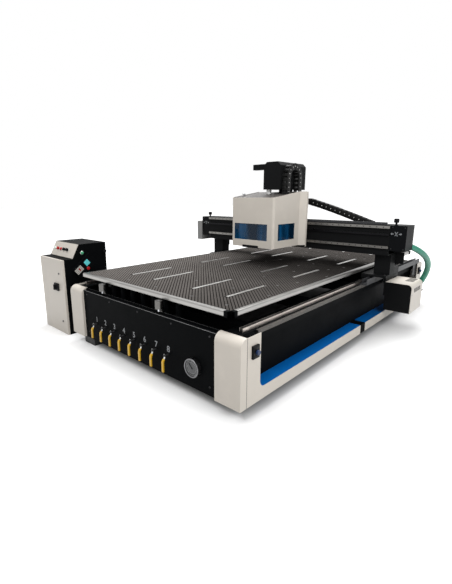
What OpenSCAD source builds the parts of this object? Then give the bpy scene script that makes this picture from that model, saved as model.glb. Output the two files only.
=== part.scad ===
// Gantry router with an eight-zone vacuum table, a moving bridge, a hooded head and a control cabinet.
// Sizes are in millimetres. X runs across the bed, Y runs to the rear, Z is up from the floor.

/* [Bed] */
// Width over the corner covers
bed_w = 2000; // [1900:10:2100]
// Length over the corner covers
bed_l = 3600; // [3500:10:3800]
// Height of the side beams and corner covers
bed_top = 535; // [515:5:560]
// Gap between the sheet covers and the floor
floor_gap = 90; // [80:5:110]
// Thickness of the folded sheets
sheet = 3; // [2:0.5:4]
// Width of a corner cover across the front
cover_w = 204; // [180:2:230]
// Depth of a corner cover to its seam
cover_d = 60; // [60:1:66]
// Radius of the rounded top edge of a corner cover
cover_r = 55; // [30:1:58]
// Length of the upright leg of a side skirt
skirt_column = 132; // [100:2:160]
// Height of the low band of a side skirt
skirt_band = 83; // [60:1:110]
// Radius in the inner corner of a side skirt
skirt_r = 50; // [20:2:70]
// Gap between the front and rear skirts
skirt_gap = 110; // [60:5:160]
// Inset of the black side panels from the covers
panel_inset = 105; // [100:1:120]

/* [Guides] */
// Distance of the rail centre from the covers
rail_inset = 88; // [84:1:92]
// Width of the bed rails
rail_w = 28; // [24:1:30]
// Height of the bed rails
rail_h = 26; // [22:1:26]
// Height of the bed racks
rack_h = 22; // [18:1:22]
// Thickness of the bed racks
rack_w = 20; // [16:1:20]
// Running clearance of blocks, pins and buttons
clearance = 0.3; // [0.2:0.1:0.5]

/* [Table] */
// Width of the table
table_w = 1740; // [1700:2:1744]
// Height of the table surface above the floor
table_top = 656; // [650:1:680]
// Distance of the table from the bed ends
table_inset = 67; // [66:1:90]
// Height of the edge profiles
edge_h = 38; // [34:1:44]
// Width of the edge profiles
edge_w = 30; // [24:1:34]
// Thickness of the vacuum boards
board_h = 20; // [18:1:24]
// Length of a clamp track
track_l = 440; // [380:5:500]
// Width of a clamp track
track_w = 30; // [26:1:36]
// Width of the mouth of a clamp track
track_mouth = 8; // [7:0.5:10]

/* [Vacuum front] */
// X of the first valve
valve_x = -599; // [-610:1:-590]
// Distance between valves
valve_pitch = 134.5; // [132:0.5:136]
// Height of the valve stems
valve_z = 255; // [250:1:280]
// Length of a valve handle from its stem
handle_l = 115; // [100:1:116]
// Distance that the handles stand in front of the covers
handle_out = 38; // [34:1:44]
// X of the gauge
gauge_x = 602; // [590:1:620]
// Height of the gauge
gauge_z = 245; // [235:1:260]
// Radius of the gauge
gauge_r = 63; // [50:1:66]

/* [Gantry] */
// Y of the front face of the bridge beam
beam_y = 1963; // [1940:1:2000]
// Depth of the bridge beam
beam_d = 200; // [190:1:209]
// Height of the underside of the bridge beam
beam_z = 800; // [790:1:830]
// Height of the bridge beam
beam_h = 272; // [266:1:280]
// Half length of the bridge beam
beam_half = 1104; // [1100:1:1108]
// Length of an end block
end_w = 138; // [130:1:150]
// Width of the bridge rails
x_rail_w = 23; // [20:1:25]
// Height of the bridge rails
x_rail_h = 22; // [20:1:24]
// Distance between the bridge rails
x_rail_gap = 180; // [170:1:190]
// Pitch radius of the drive pinions
pinion_r = 32; // [28:1:34]

/* [Motor covers] */
// Length of a motor cover
mcover_l = 365; // [350:1:380]
// Width of a motor cover
mcover_w = 244; // [230:1:260]
// Height of a motor cover
mcover_h = 285; // [275:1:290]
// Radius of the outer top edge of a motor cover
mcover_r = 40; // [20:1:60]

/* [Head] */
// X of the middle of the head
head_x = -9; // [-40:1:40]
// Width of the head cover
head_w = 510; // [500:2:560]
// Y of the front of the head cover
head_y = 1400; // [1360:2:1410]
// Height of the lower edge of the head cover
head_z = 835; // [815:1:850]
// Height of the front of the head cover
head_h = 476; // [460:2:500]
// Rise of the sides of the head cover towards the rear
head_rise = 60; // [30:2:80]
// Radius of the spindle
spindle_r = 62.5; // [50:0.5:70]
// Radius of the collet bore
collet_r = 6.35; // [4:0.05:8]

/* [Cabinet] */
// X of the left side of the cabinet
cab_x = -1646; // [-1700:2:-1640]
// Width of the cabinet
cab_w = 476; // [470:2:490]
// Height of the cabinet
cab_h = 873; // [860:1:890]
// Height of the door
door_h = 738; // [700:1:745]
// Y of the front of the door
cab_y = 22; // [10:1:40]
// Y of the rear of the cabinet
cab_rear = 486; // [440:1:490]

/* [Hose] */
// Radius of the cable hose
hose_r = 27; // [20:1:30]

/* [Hidden] */
$fn = 48;

// Bed: half widths and heights
half = bed_w / 2;
panel_x = half - panel_inset;
beam_inset = 55;
side_beam_w = 120;
beam_out = half - beam_inset;
beam_in = beam_out - side_beam_w;
side_beam_h = 80;
side_beam_z = bed_top - side_beam_h;
tube_wall = 6;
seam = 0.2;
bed_mid = bed_l / 2;
front_gap = 10;
cross_end = 240;
cross_next = 1050;
cross_y = [cross_end, cross_next, bed_mid, bed_l - cross_next, bed_l - cross_end];
bearer_x = [-560, 0, 560];
bearer_w = 60;
bearer_y = 170;
post_x = [750, 890];
post_l = 140;
foot_grow = 15;
post_end = 62;
post_back = 60;
post_y = [post_end, bed_mid - (post_l + foot_grow) / 2, bed_l - post_end - post_l];
right_post_y = [post_end + post_back, post_y[1], post_y[2]];
foot_h = 60;
stud_r = 12;
stud_h = 40;
// Front panel: two folds along its top
panel_y = 20;
fold_z = 15;
fold_d = 30;
stem_r = 9;
gauge_stub_r = 12;
// Guides
rail_x = half - rail_inset;
rail_end = 110;
rack_end = 210;
rack_drop = 1;
// Table: boards in two columns and four rows inside the edge profiles
table_l = bed_l - 2 * table_inset;
board_w = table_w / 2 - edge_w;
zone_rows = 4;
board_gap = 0.8;
board_l = (table_l - 2 * edge_w) / zone_rows;
board_z = table_top - board_h;
track_x = [-485, -185, 275, 610];
track_inset = 231;
track_h = 16;
track_lip = 6;
track_tee = 16;
cap_l = 60;
// Vacuum: one riser, valve body and handle to each zone
valve_count = 8;
pipe_y = 125;
pipe_r = 40;
pipe_wall = 4;
pipe_z = 150;
pipe_end = 70;
// Hose spigot under the vacuum pipe: place, radius and height of its free wall
spigot_x = 0;
spigot_r = 31.5;
spigot_z = [46, 104];
riser_r = 21;
valve_body_r = 28;
valve_body_h = 80;
bonnet_r = 18;
bonnet_l = 40;
stem_out = 8;
neck_w = 14;
neck_l = 38;
strip_h = 4;
sleeve_w = 18;
sleeve_h = 12;
gauge_d = 32;
gauge_rim = 7;
gauge_dial = 10;
needle_l = 42;
needle_w = 5;
needle_rest = 45;
// Locating cylinders in front of the table edge
locator_x = [-500, 235];
locator_y = 36;
locator_r = 27;
locator_h = 58;
locator_pin_r = 8;
locator_pin_foot = 20;
locator_foot = 20;
// Switch boxes on the right side
switch_y = 130;
switch_z = 434;
switch_size = [14, 62, 80];
switch_button_r = 15;
switch_button_h = 14;
button_shank_r = 9;
button_shank_l = 6;
button_pocket = 12;
// Chain tray on the right side beam
tray_inset = 45;
tray_in = half - tray_inset;
tray_flange = 25;
tray_h = 53;
tray_end = 144;
tray_y = [bed_mid, bed_l - tray_end];
tray_chain_h = 15;
tray_drop_in = 22;
tray_drop_l = 160;
tray_drop_h = 140;
// Gantry
end_rise = 46;
end_back = 9;
end_z = beam_z + end_rise;
end_y = [beam_y, beam_y + beam_d + end_back];
beam_top = beam_z + beam_h;
beam_wall = 10;
x_rail_drop = 17;
x_rail_z = [beam_top - x_rail_drop - x_rail_gap, beam_top - x_rail_drop];
x_rack_drop = 75;
x_rack_z = x_rail_z[1] - x_rack_drop;
x_rack_h = 20;
x_rack_d = 18;
end_box_w = 78;
end_box_lead = 13;
end_box_short = 22;
end_box_y = [end_y[0] - end_box_lead, end_y[1] - end_box_short];
end_box_z = [776, 1012];
knob_inset = 33;
knob_back = 38;
knob_y = beam_y + knob_back;
knob_post_r = 8;
knob_post_h = 24;
knob_r = 20;
knob_h = 34;
// Gantry sides: foot plate, column and rear plate
foot_gap = 10;
foot_out = 108;
foot_lead = 3;
foot_back = 287;
foot_x = [table_w / 2 + foot_gap, half + foot_out];
foot_y = [beam_y - foot_lead, beam_y + foot_back];
rail_block_h = 36;
rail_block_lift = 6;
rail_block_l = 110;
rail_block_w = 60;
rail_block_end = 5;
block_top = bed_top + rail_block_lift + rail_block_h;
carriage_h = 15;
foot_z = block_top + carriage_h;
plate_h = 20;
column_in = 37;
column_back = 82;
column_x = [half - column_in, half + foot_out];
column_y = [beam_y + column_back, end_y[1]];
rear_plate_w = 72;
rear_plate_t = 12;
rear_plate_low = 705;
rear_plate_drop = 72;
rear_plate_z = [rear_plate_low, beam_top - rear_plate_drop];
// Y drive: bracket, gearbox, motor and cover
drive_gap = 2;
drive_out = 3;
drive_y = [foot_y[1] + drive_gap, foot_y[1] + drive_gap + mcover_l - 2 * sheet];
drive_x = half + drive_out;
drive_t = 15;
drive_z = 360;
mcover_top = 500;
mcover_x = drive_x + drive_t;
mcover_y = [drive_y[0] - sheet, drive_y[1] + sheet];
pinion_add = 2;
pinion_teeth = 32;
pinion_w = 16;
pinion_gap = 2;
// Tooth form: root depth in addenda, and half widths at root and tip in pitches
tooth_root = 1.25;
tooth_half = [0.35, 0.16];
rack_tip = bed_top - rack_drop - rack_h;
y_pinion_z = rack_tip - pinion_r - pinion_add - clearance;
y_pinion_y = (drive_y[0] + drive_y[1]) / 2;
shaft_r = 10;
shaft_gap = 0.05;
shaft_seat = 25;
gearbox = [42, 140, 118];
gearbox_rise = 15;
motor_l = 165;
motor_w = 90;
motor_drop = 50;
vent_count = 9;
vent_w = 9;
vent_l = 44;
vent_pitch = 24;
vent_drop = 66;
vent_z = mcover_top - vent_drop;
vent_tilt = 25;
// Hose glands: on a shelf behind the motor cover and on the back of the end block
gland_r = 31;
gland_l = 20;
gland_seat = 26;
gland_shelf = 60;
gland_rim = 40;
gland_low_z = 380;
gland_low_out = 200;
gland_low_back = 45;
gland_high_out = 211;
gland_high_rise = 30;
gland_low = [half + gland_low_out, drive_y[1] + gland_low_back, gland_low_z + gland_l];
gland_high = [half + gland_high_out, end_y[1] + gland_l, end_z + gland_high_rise];
// Bridge tray and its chain
xtray_x = [-150, 1062];
xtray_back = 37;
xtray_w = 60;
xtray_y = [beam_y + xtray_back, beam_y + xtray_back + xtray_w];
xtray_h = 23;
xtray_arm_x = [-120, 280, 660, 900];
xtray_arm_w = 40;
chain_w = 60;
chain_h = 64;
chain_back = 30;
chain_y = [beam_y + beam_d + chain_back, beam_y + beam_d + chain_back + chain_w];
chain_bend_r = 42;
chain_end_z = 1062;
chain_low_z = chain_end_z - 2 * chain_bend_r;
chain_bend_x = 826;
chain_top = [160, 1270.5];
// Head
carriage_gap = 36;
carriage_t = 25;
carriage_back = beam_y - carriage_gap;
carriage_front = carriage_back - carriage_t;
flare = 52;
carriage_x = [head_x - head_w / 2 - flare, head_x + head_w / 2 + flare];
deck_drop = 3;
carriage_drop = 17;
carriage_z = [head_z - carriage_drop, head_z + head_h + head_rise - deck_drop];
head_sheet = 4;
head_top = head_z + head_h;
head_side = carriage_front - flare;
flare_half = 22.5;
head_r = 26;
window_front_x = [-216, 182];
window_side_y = [76, 371];
window_z = [71, 228];
window_lap = 12;
notch_x = [-113, 83];
notch_h = 18;
x_block_l = 90;
x_block_h = 70;
x_block_off = 190;
x_motor_off = 204;
x_motor_x = head_x + x_motor_off;
x_motor_w = 78;
x_motor_l = 190;
x_pinion_z = x_rack_z - pinion_r - pinion_add - clearance;
x_pinion_w = 20;
x_pinion_gap = 4;
// Chain shelf behind the carriage
shelf_x = [60, 160];
shelf_over = 10;
shelf_y = chain_y[1] + shelf_over;
shelf_z = 1240;
shelf_t = 12;
// Z guide
z_rail_off = 110;
z_rail_w = 20;
z_rail_h = 18;
z_rail_z = [826, 1290];
z_plate_half = 145;
z_plate_t = 25;
z_plate_z = [922, 1240];
z_plate_gap = 18;
z_plate_y = carriage_front - z_rail_h - z_plate_gap;
z_block_w = 48;
z_block_l = 70;
spindle_back = 280;
spindle_y = head_y + spindle_back;
spindle_z = [922, 1245];
nose_r = 40;
nose_h = 20;
nut_r = 25;
nut_h = 32;
collet_depth = 45;
clamp_wall = 22;
clamp_h = 60;
clamp_z = [960, 1140];
rotor_r = 16;
rotor_gap = 0.3;
// Z housing and its chain
housing_x = [-61, 136];
housing_back = 250;
housing_l = 480;
housing_y = [head_y + housing_back, head_y + housing_back + housing_l];
housing_z = [1390, 1655];
housing_cut = 34;
pedestal_x = [-40, 110];
arm_l = 155;
arm_w = 55;
arm_z = 1585;
balance_x = -26;
balance_back = 300;
balance_y = head_y + balance_back;
balance_r = 24;
zchain_gap = 4;
zchain_x = housing_x[1] + zchain_gap;
zchain_w = 60;
zchain_h = 62;
zchain_back = 312;
zchain_span = 212;
zchain_y = [head_y + zchain_back, head_y + zchain_back + zchain_span];
zchain_r = zchain_span / 2;
zchain_top = 1505;
zchain_low = 1241;
// Cabinet
cab_wall = 4;
door_t = 20;
cab_right = cab_x + cab_w;
slope_back = [107, 180];
slope_y = moved(slope_back, cab_y);
slope_a = atan2(cab_h - door_h, slope_y[1] - slope_y[0]);
slope_len = norm([cab_h - door_h, slope_y[1] - slope_y[0]]);
slope_mid = slope_len / 2;
door_gap = 2;
lock_r = 8;
lock_h = 5;
lock_in = 88;
lock_x = cab_right - lock_in;
lock_z = [124, 600];
main_switch_in = 147;
main_switch_x = cab_right - main_switch_in;
main_switch_z = 465;
main_base = [90, 10, 70];
main_knob_r = 26;
main_knob_h = 28;
panel_t = 3;
panel_inset_x = 6;
lamp_in = [54, 183];
stop_in = 130;
selector_in = [257, 323];
lamp_x = moved(lamp_in, cab_x);
stop_x = cab_x + stop_in;
selector_x = moved(selector_in, cab_x);
panel_button_r = 15;
panel_button_h = 18;
bezel_r = 20;
bezel_h = 4;
shank_r = 9;
shank_l = 14;
pendant_mid = [235, 665];
pendant_a = 40;
pendant_size = [236, 124, 28];
pendant_r = 14;
pendant_hook = 6;
pendant_stop = [1, -35];
side_lamp = [226, 789];
side_lamp_r = 14;
side_lamp_h = 10;
rear_knob_z = 782;
rear_knob_r = 16;
rear_knob_h = 14;
// Hose route on the right end of the bridge: a curve with four control points, gland to gland
hose_out = [170, 180, -95];
hose_in = [110, 45, 220];
hose_knots = [gland_high, gland_high + hose_out, gland_low + hose_in, gland_low];
hose_steps = 10;
hose_path = [for (i = [0 : hose_steps]) curve_point(hose_knots, i / hose_steps)];
hose_sides = 12;
hose_side_hint = [0.3, 0.9, 0.3];
// The origin is on the floor under the middle of the box round the whole set
origin_x = (cab_x + mcover_x + mcover_w) / 2;
origin_y = (bed_l - handle_out) / 2;

// Moves the bed's own frame to the origin of the whole set
module place() {
    translate([-origin_x, -origin_y, 0]) children();
}

// Both limits of a range moved by a distance
function moved(range, by) = [range[0] + by, range[1] + by];

// A box given by its two limits on each axis
module span(x, y, z) {
    translate([x[0], y[0], z[0]]) cube([x[1] - x[0], y[1] - y[0], z[1] - z[0]]);
}

// The right-hand piece and its mirror image on the left
module both_sides() {
    children();
    mirror([1, 0, 0]) children();
}

// The front piece and its mirror image at the rear
module both_ends() {
    children();
    translate([0, bed_l, 0]) mirror([0, 1, 0]) children();
}

// A profile drawn in Y and Z, extruded along X
module along_x(x) {
    translate([x[0], 0, 0]) rotate([90, 0, 90]) linear_extrude(x[1] - x[0]) children();
}

// A profile drawn in X and Z, extruded along Y
module along_y(y) {
    translate([0, y[1], 0]) rotate([90, 0, 0]) linear_extrude(y[1] - y[0]) children();
}

// A round bar along X, Y or Z from one limit to the other
module bar_x(x, y, z, r) {
    translate([x[0], y, z]) rotate([0, 90, 0]) cylinder(r = r, h = x[1] - x[0]);
}
module bar_y(x, y, z, r) {
    translate([x, y[1], z]) rotate([90, 0, 0]) cylinder(r = r, h = y[1] - y[0]);
}
module bar_z(x, y, z, r) {
    translate([x, y, z[0]]) cylinder(r = r, h = z[1] - z[0]);
}

module bed_frame() color("#1b1c1f") place() {
    side_y = [cover_d + front_gap, bed_l - cover_d - front_gap];
    both_sides() difference() {
        span([beam_in, beam_out], side_y, [side_beam_z, bed_top]);
        span([beam_in + tube_wall, beam_out - tube_wall], [side_y[0] - 1, side_y[1] + 1],
            [side_beam_z + tube_wall, bed_top - tube_wall]);
    }
    for (y = cross_y) difference() {
        span([-beam_in + seam, beam_in - seam], [y - side_beam_h / 2, y + side_beam_h / 2],
            [side_beam_z, bed_top]);
        span([-beam_in - 1, beam_in + 1], [y - side_beam_h / 2 + tube_wall,
            y + side_beam_h / 2 - tube_wall],
            [side_beam_z + tube_wall, bed_top - tube_wall]);
    }
    for (x = bearer_x) difference() {
        span([x - bearer_w / 2, x + bearer_w / 2], [bearer_y, bed_l - bearer_y],
            [bed_top + seam, board_z]);
        span([x - bearer_w / 2 + tube_wall, x + bearer_w / 2 - tube_wall],
            [bearer_y - 1, bed_l - bearer_y + 1],
            [bed_top + tube_wall, board_z - tube_wall]);
    }
}

// Places at the frame posts, the right front one set back
module at_posts() {
    for (y = post_y) mirror([1, 0, 0]) translate([0, y, 0]) children();
    for (y = right_post_y) translate([0, y, 0]) children();
}

module frame_posts() color("#1b1c1f") place() at_posts() difference() {
    span(post_x, [0, post_l], [foot_h, side_beam_z]);
    span([post_x[0] + tube_wall, post_x[1] - tube_wall], [tube_wall, post_l - tube_wall],
        [foot_h + 2 * tube_wall, side_beam_z + 1]);
    bar_z((post_x[0] + post_x[1]) / 2, post_l / 2, [foot_h - 1, foot_h + 2 * tube_wall + 1],
        stud_r + clearance);
}

module levelling_feet() color("#131416") place() at_posts() {
    span([post_x[0] - foot_grow, post_x[1] + foot_grow], [-foot_grow / 3, post_l + foot_grow / 3],
        [0, foot_h]);
    bar_z((post_x[0] + post_x[1]) / 2, post_l / 2, [foot_h, foot_h + stud_h], stud_r);
}

module panel_profile() {
    fold = bed_top - fold_z;
    translate([panel_y, floor_gap]) square([sheet, fold - floor_gap]);
    translate([panel_y, fold - sheet]) square([fold_d, sheet]);
    translate([panel_y + fold_d - sheet, fold - sheet]) square([sheet, fold_z + sheet]);
}

module front_panel() color("#17191d") place() difference() {
    along_x([-half + cover_w, half - cover_w]) panel_profile();
    for (i = [0 : valve_count - 1])
        bar_y(valve_x + i * valve_pitch, [panel_y - 1, panel_y + sheet + 1], valve_z, stem_r + 1);
    bar_y(gauge_x, [panel_y - 1, panel_y + sheet + 1], gauge_z, gauge_stub_r + clearance);
}

module bed_panels() color("#15171a") place() {
    both_sides() {
        span([panel_x - sheet, panel_x], [cover_d, bed_l - cover_d], [floor_gap, side_beam_z]);
        span([panel_x - sheet, half - sheet],
            moved([-skirt_gap / 2 + sheet, skirt_gap / 2 - sheet], bed_mid),
            [floor_gap, floor_gap + skirt_band]);
    }
    span([-half + cover_w, half - cover_w], [bed_l - panel_y - sheet, bed_l - panel_y],
        [floor_gap, bed_top]);
}

module cover_profile(inset) {
    r = cover_r - inset;
    top = bed_top - inset;
    translate([inset, floor_gap - inset]) square([cover_d, top - r - floor_gap + inset]);
    translate([cover_r, floor_gap]) square([cover_d - cover_r + inset, top - floor_gap]);
    translate([cover_r, top - r]) intersection() {
        circle(r);
        translate([-r, 0]) square(r);
    }
}

module corner_covers() color("#d3ccc0") place() both_sides() both_ends() difference() {
    intersection() {
        along_x([half - cover_w, half]) cover_profile(0);
        span([0, half], [0, cover_d], [0, bed_top]);
    }
    along_x([half - cover_w + sheet, half - sheet]) cover_profile(sheet);
}

module skirt_opening(grow) {
    r = skirt_r + grow;
    y = cover_d + skirt_column - grow;
    z = floor_gap + skirt_band - grow;
    translate([y + r, z]) square([bed_l, bed_top]);
    translate([y, z + r]) square([bed_l, bed_top]);
    translate([y + r, z + r]) circle(r);
}

module skirt_blank() {
    translate([cover_d, floor_gap]) square([bed_mid - skirt_gap / 2 - cover_d, bed_top - floor_gap]);
}

module side_skirts() color("#d3ccc0") place() both_sides() both_ends() along_x([half - sheet, half])
    difference() {
        skirt_blank();
        skirt_opening(0);
    }

module skirt_ledges() color("#0d5a9e") place() both_sides() both_ends() difference() {
    along_x([panel_x, half - sheet]) difference() {
        intersection() {
            skirt_blank();
            skirt_opening(sheet);
        }
        skirt_opening(0);
    }
    span([panel_x - 1, half], [0, bed_l], [floor_gap + skirt_band + skirt_r, bed_top + 1]);
}

module tracks_of(row, col) {
    first = col * 2;
    y = table_inset + edge_w + row * board_l + track_inset;
    for (x = [track_x[first], track_x[first + 1]])
        span([x - track_w / 2, x + track_w / 2], [y, y + track_l], [table_top - track_h, table_top + 1]);
}

module vacuum_boards() color("#3c3734") place() for (row = [0 : zone_rows - 1], col = [0, 1]) difference() {
    y = table_inset + edge_w + row * board_l;
    span([(col - 1) * board_w + board_gap, col * board_w - board_gap],
        [y + board_gap, y + board_l - board_gap],
        [board_z, table_top]);
    tracks_of(row, col);
}

module edge_profile() {
    bulge = edge_w / 3;
    translate([bulge, table_top - edge_h]) square([edge_w - bulge, edge_h]);
    translate([0, table_top - edge_h + bulge]) square([edge_w, edge_h - 2 * bulge]);
    for (z = [table_top - edge_h + bulge, table_top - bulge]) translate([bulge, z]) circle(bulge);
}

module table_edges() color("#b9b7b3") place() {
    x = table_w / 2;
    far = bed_l - table_inset;
    both_ends() translate([0, table_inset, 0]) along_x([-x, x - cap_l - seam]) edge_profile();
    translate([x, 0, 0]) mirror([1, 0, 0]) along_y([table_inset + cap_l + seam, far - cap_l - seam])
        edge_profile();
    translate([-x, 0, 0]) along_y([table_inset + edge_w + seam, far - edge_w - seam])
        edge_profile();
    both_ends() difference() {
        span([x - cap_l, x], [table_inset, table_inset + cap_l], [table_top - edge_h, table_top]);
        span([x - cap_l - 1, x - edge_w], [table_inset + edge_w, table_inset + cap_l + 1],
            [table_top - edge_h - 1, table_top + 1]);
    }
}

module t_slot_tracks() color("#c6c7c8") place() for (row = [0 : zone_rows - 1], x = track_x) {
    y = table_inset + edge_w + row * board_l + track_inset;
    base = table_top - track_h;
    difference() {
        span([x - track_w / 2, x + track_w / 2], [y, y + track_l], [base, table_top]);
        span([x - track_mouth / 2, x + track_mouth / 2], [y - 1, y + track_l + 1],
            [base + 4, table_top + 1]);
        span([x - track_tee / 2, x + track_tee / 2], [y - 1, y + track_l + 1],
            [base + 4, table_top - track_lip]);
    }
}

module y_rails() color("#c9cacb") place() both_sides()
    span([rail_x - rail_w / 2, rail_x + rail_w / 2], [rail_end, bed_l - rail_end],
        [bed_top, bed_top + rail_h]);

module y_racks() color("#8e8f90") place() both_sides()
    span([beam_out, beam_out + rack_w], [rack_end, bed_l - rack_end], [rack_tip, bed_top - rack_drop]);

module vacuum_manifold() color("#2b2d30") place() {
    x = [valve_x - pipe_end, valve_x + (valve_count - 1) * valve_pitch + pipe_end];
    difference() {
        union() {
            bar_x(x, pipe_y, pipe_z, pipe_r);
            for (i = [0 : valve_count - 1])
                bar_z(valve_x + i * valve_pitch, pipe_y, [pipe_z, valve_z - valve_body_h / 2], riser_r);
            bar_z(spigot_x, pipe_y, [spigot_z[0], pipe_z], spigot_r);
            bar_z(spigot_x, pipe_y, [spigot_z[1], pipe_z - pipe_r + pipe_wall], pipe_r);
        }
        bar_x([x[0] + pipe_wall, x[1] - pipe_wall], pipe_y, pipe_z, pipe_r - pipe_wall);
        bar_z(spigot_x, pipe_y, [spigot_z[0] - 1, pipe_z], spigot_r - pipe_wall);
    }
    for (i = [0 : valve_count - 1])
        bar_z(valve_x + i * valve_pitch, pipe_y, [valve_z + valve_body_h / 2, board_z], riser_r);
}

module valve_bodies() color("#8a8c8e") place() for (i = [0 : valve_count - 1]) {
    x = valve_x + i * valve_pitch;
    difference() {
        union() {
            bar_z(x, pipe_y, [valve_z - valve_body_h / 2, valve_z + valve_body_h / 2], valve_body_r);
            bar_y(x, [pipe_y - valve_body_r - bonnet_l, pipe_y], valve_z, bonnet_r);
        }
        bar_y(x, [0, pipe_y - valve_body_r], valve_z, stem_r + shaft_gap);
    }
}

module valve_handle(i) color("#d9a520") place() translate([valve_x + i * valve_pitch, 0, valve_z]) {
    strip_y = -stem_out - strip_h;
    union() {
        bar_y(0, [strip_y, pipe_y - valve_body_r - bonnet_l / 2], 0, stem_r);
        bar_y(0, [strip_y - strip_h, strip_y + strip_h], 0, neck_w);
        span([-neck_w / 2, neck_w / 2], [strip_y, strip_y + strip_h], [-neck_l, 0]);
        span([-neck_w / 2, neck_w / 2], [-handle_out + sleeve_h / 3, strip_y + strip_h],
            [-neck_l - strip_h, -neck_l]);
        span([-sleeve_w / 2, sleeve_w / 2], [-handle_out, -handle_out + sleeve_h], [-handle_l, -neck_l]);
    }
}

module vacuum_gauge() color("#9b9d9e") place() {
    front = panel_y - gauge_d;
    difference() {
        union() {
            bar_y(gauge_x, [front, panel_y], gauge_z, gauge_r);
            bar_y(gauge_x, [panel_y, panel_y + gauge_d], gauge_z, gauge_stub_r);
        }
        bar_y(gauge_x, [front - 1, front + gauge_dial], gauge_z, gauge_r - gauge_rim);
    }
}

module gauge_needle() color("#101010") place()
    translate([gauge_x, panel_y - gauge_d + gauge_dial, gauge_z]) {
    rotate([0, -needle_rest, 0]) union() {
        span([-needle_w / 2, needle_w / 2], [-needle_w, -needle_w / 2], [-needle_l / 4, needle_l]);
        bar_y(0, [-needle_w, -clearance], 0, needle_w);
    }
}

module locating_cylinders() color("#b4b6b8") place() for (x = locator_x) {
    base = board_z - edge_h / 2 - locator_h;
    difference() {
        bar_z(x, locator_y, [base, base + locator_h], locator_r);
        bar_z(x, locator_y, [base - 1, base + locator_h + 1], locator_pin_r + shaft_gap);
    }
    span([x - locator_foot, x + locator_foot], [panel_y + fold_d - sheet, panel_y + fold_d],
        [bed_top, base]);
}

module locating_pins() color("#d5d6d7") place() for (x = locator_x) {
    base = board_z - edge_h / 2 - locator_h;
    bar_z(x, locator_y, [base - locator_pin_foot, base + locator_h], locator_pin_r);
}

module at_switches() {
    children();
    translate([0, bed_l - 2 * switch_y, 0]) children();
}

module switch_boxes() color("#101113") place() at_switches() difference() {
    span([half, half + switch_size[0]], [switch_y - switch_size[1] / 2, switch_y + switch_size[1] / 2],
        [switch_z - switch_size[2] / 2, switch_z + switch_size[2] / 2]);
    bar_x([half + switch_size[0] - button_pocket, half + switch_size[0] + 1], switch_y, switch_z,
        button_shank_r + shaft_gap);
}

module switch_button(y) color("#16284f") place() {
    face = half + switch_size[0];
    lift = button_pocket - button_shank_l;
    bar_x([face - button_shank_l, face + lift], y, switch_z, button_shank_r);
    bar_x([face + lift, face + lift + switch_button_h], y, switch_z, switch_button_r);
}

module switch_button_front() switch_button(switch_y);
module switch_button_rear() switch_button(bed_l - switch_y);

module y_chain_tray() color("#6d6f72") place() {
    floor_z = bed_top + sheet;
    span([tray_in - tray_flange, half], tray_y, [bed_top, floor_z]);
    for (x = [tray_in, half - sheet]) span([x, x + sheet], tray_y, [floor_z, bed_top + tray_h]);
    span([tray_in + 2 * sheet, half - 2 * sheet], [tray_y[0], tray_y[1] - 2 * chain_w],
        [floor_z, floor_z + tray_chain_h]);
    span([half - tray_drop_in, half - tray_drop_in + sheet], [tray_y[1] - tray_drop_l, tray_y[1]],
        [bed_top - tray_drop_h, bed_top]);
}

module valve_handle_1() valve_handle(0);
module valve_handle_2() valve_handle(1);
module valve_handle_3() valve_handle(2);
module valve_handle_4() valve_handle(3);
module valve_handle_5() valve_handle(4);
module valve_handle_6() valve_handle(5);
module valve_handle_7() valve_handle(6);
module valve_handle_8() valve_handle(7);

// Side outline of the cabinet behind its door, drawn in by a wall
module cabinet_outline(wall) {
    front = cab_y + door_t;
    lean = wall / sin(slope_a);
    polygon([[front - wall, wall], [front - wall, door_h - wall], [slope_y[0] + lean, door_h - wall],
        [slope_y[1] + lean, cab_h - wall], [cab_rear - wall, cab_h - wall], [cab_rear - wall, wall]]);
}

module cabinet_body() color("#17181b") place() {
    difference() {
        union() {
            along_x([cab_x, cab_right]) cabinet_outline(0);
            bar_x([cab_right, cab_right + side_lamp_h], side_lamp[0], side_lamp[1], side_lamp_r);
            bar_x([cab_right, cab_right + rear_knob_h], cab_rear - rear_knob_r, rear_knob_z, rear_knob_r);
        }
        along_x([cab_x + cab_wall, cab_right - cab_wall]) cabinet_outline(cab_wall);
        for (x = concat(stop_x, selector_x)) on_slope(x)
            translate([0, 0, -shank_l - 2 * cab_wall]) cylinder(r = shank_r + clearance, h = 4 * shank_l);
    }
}

// Moves to a place on the sloped panel, with Z pointing out of the panel
module on_slope(x) {
    translate([x, (slope_y[0] + slope_y[1]) / 2, (door_h + cab_h) / 2]) rotate([slope_a, 0, 0]) children();
}

module control_panel() color("#cfc8bd") place() {
    difference() {
        on_slope(0) translate([cab_x + panel_inset_x, -slope_mid + panel_t, 0])
            cube([cab_w - 2 * panel_inset_x, slope_len - 2 * panel_t, panel_t]);
        for (x = concat(stop_x, selector_x)) on_slope(x)
            translate([0, 0, -panel_t]) cylinder(r = shank_r + clearance, h = 3 * panel_t);
    }
    for (x = lamp_x) on_slope(x) translate([0, 0, panel_t])
        cylinder(r = panel_button_r, h = panel_button_h / 2);
}

module panel_button(x) place() on_slope(x) translate([0, 0, panel_t]) union() {
    translate([0, 0, bezel_h]) cylinder(r = panel_button_r, h = panel_button_h);
    translate([0, 0, -shank_l]) cylinder(r = shank_r, h = shank_l + bezel_h);
}

module stop_button() color("#b3191d") panel_button(stop_x);
module selector_left() color("#141414") panel_button(selector_x[0]);
module selector_right() color("#141414") panel_button(selector_x[1]);

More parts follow.
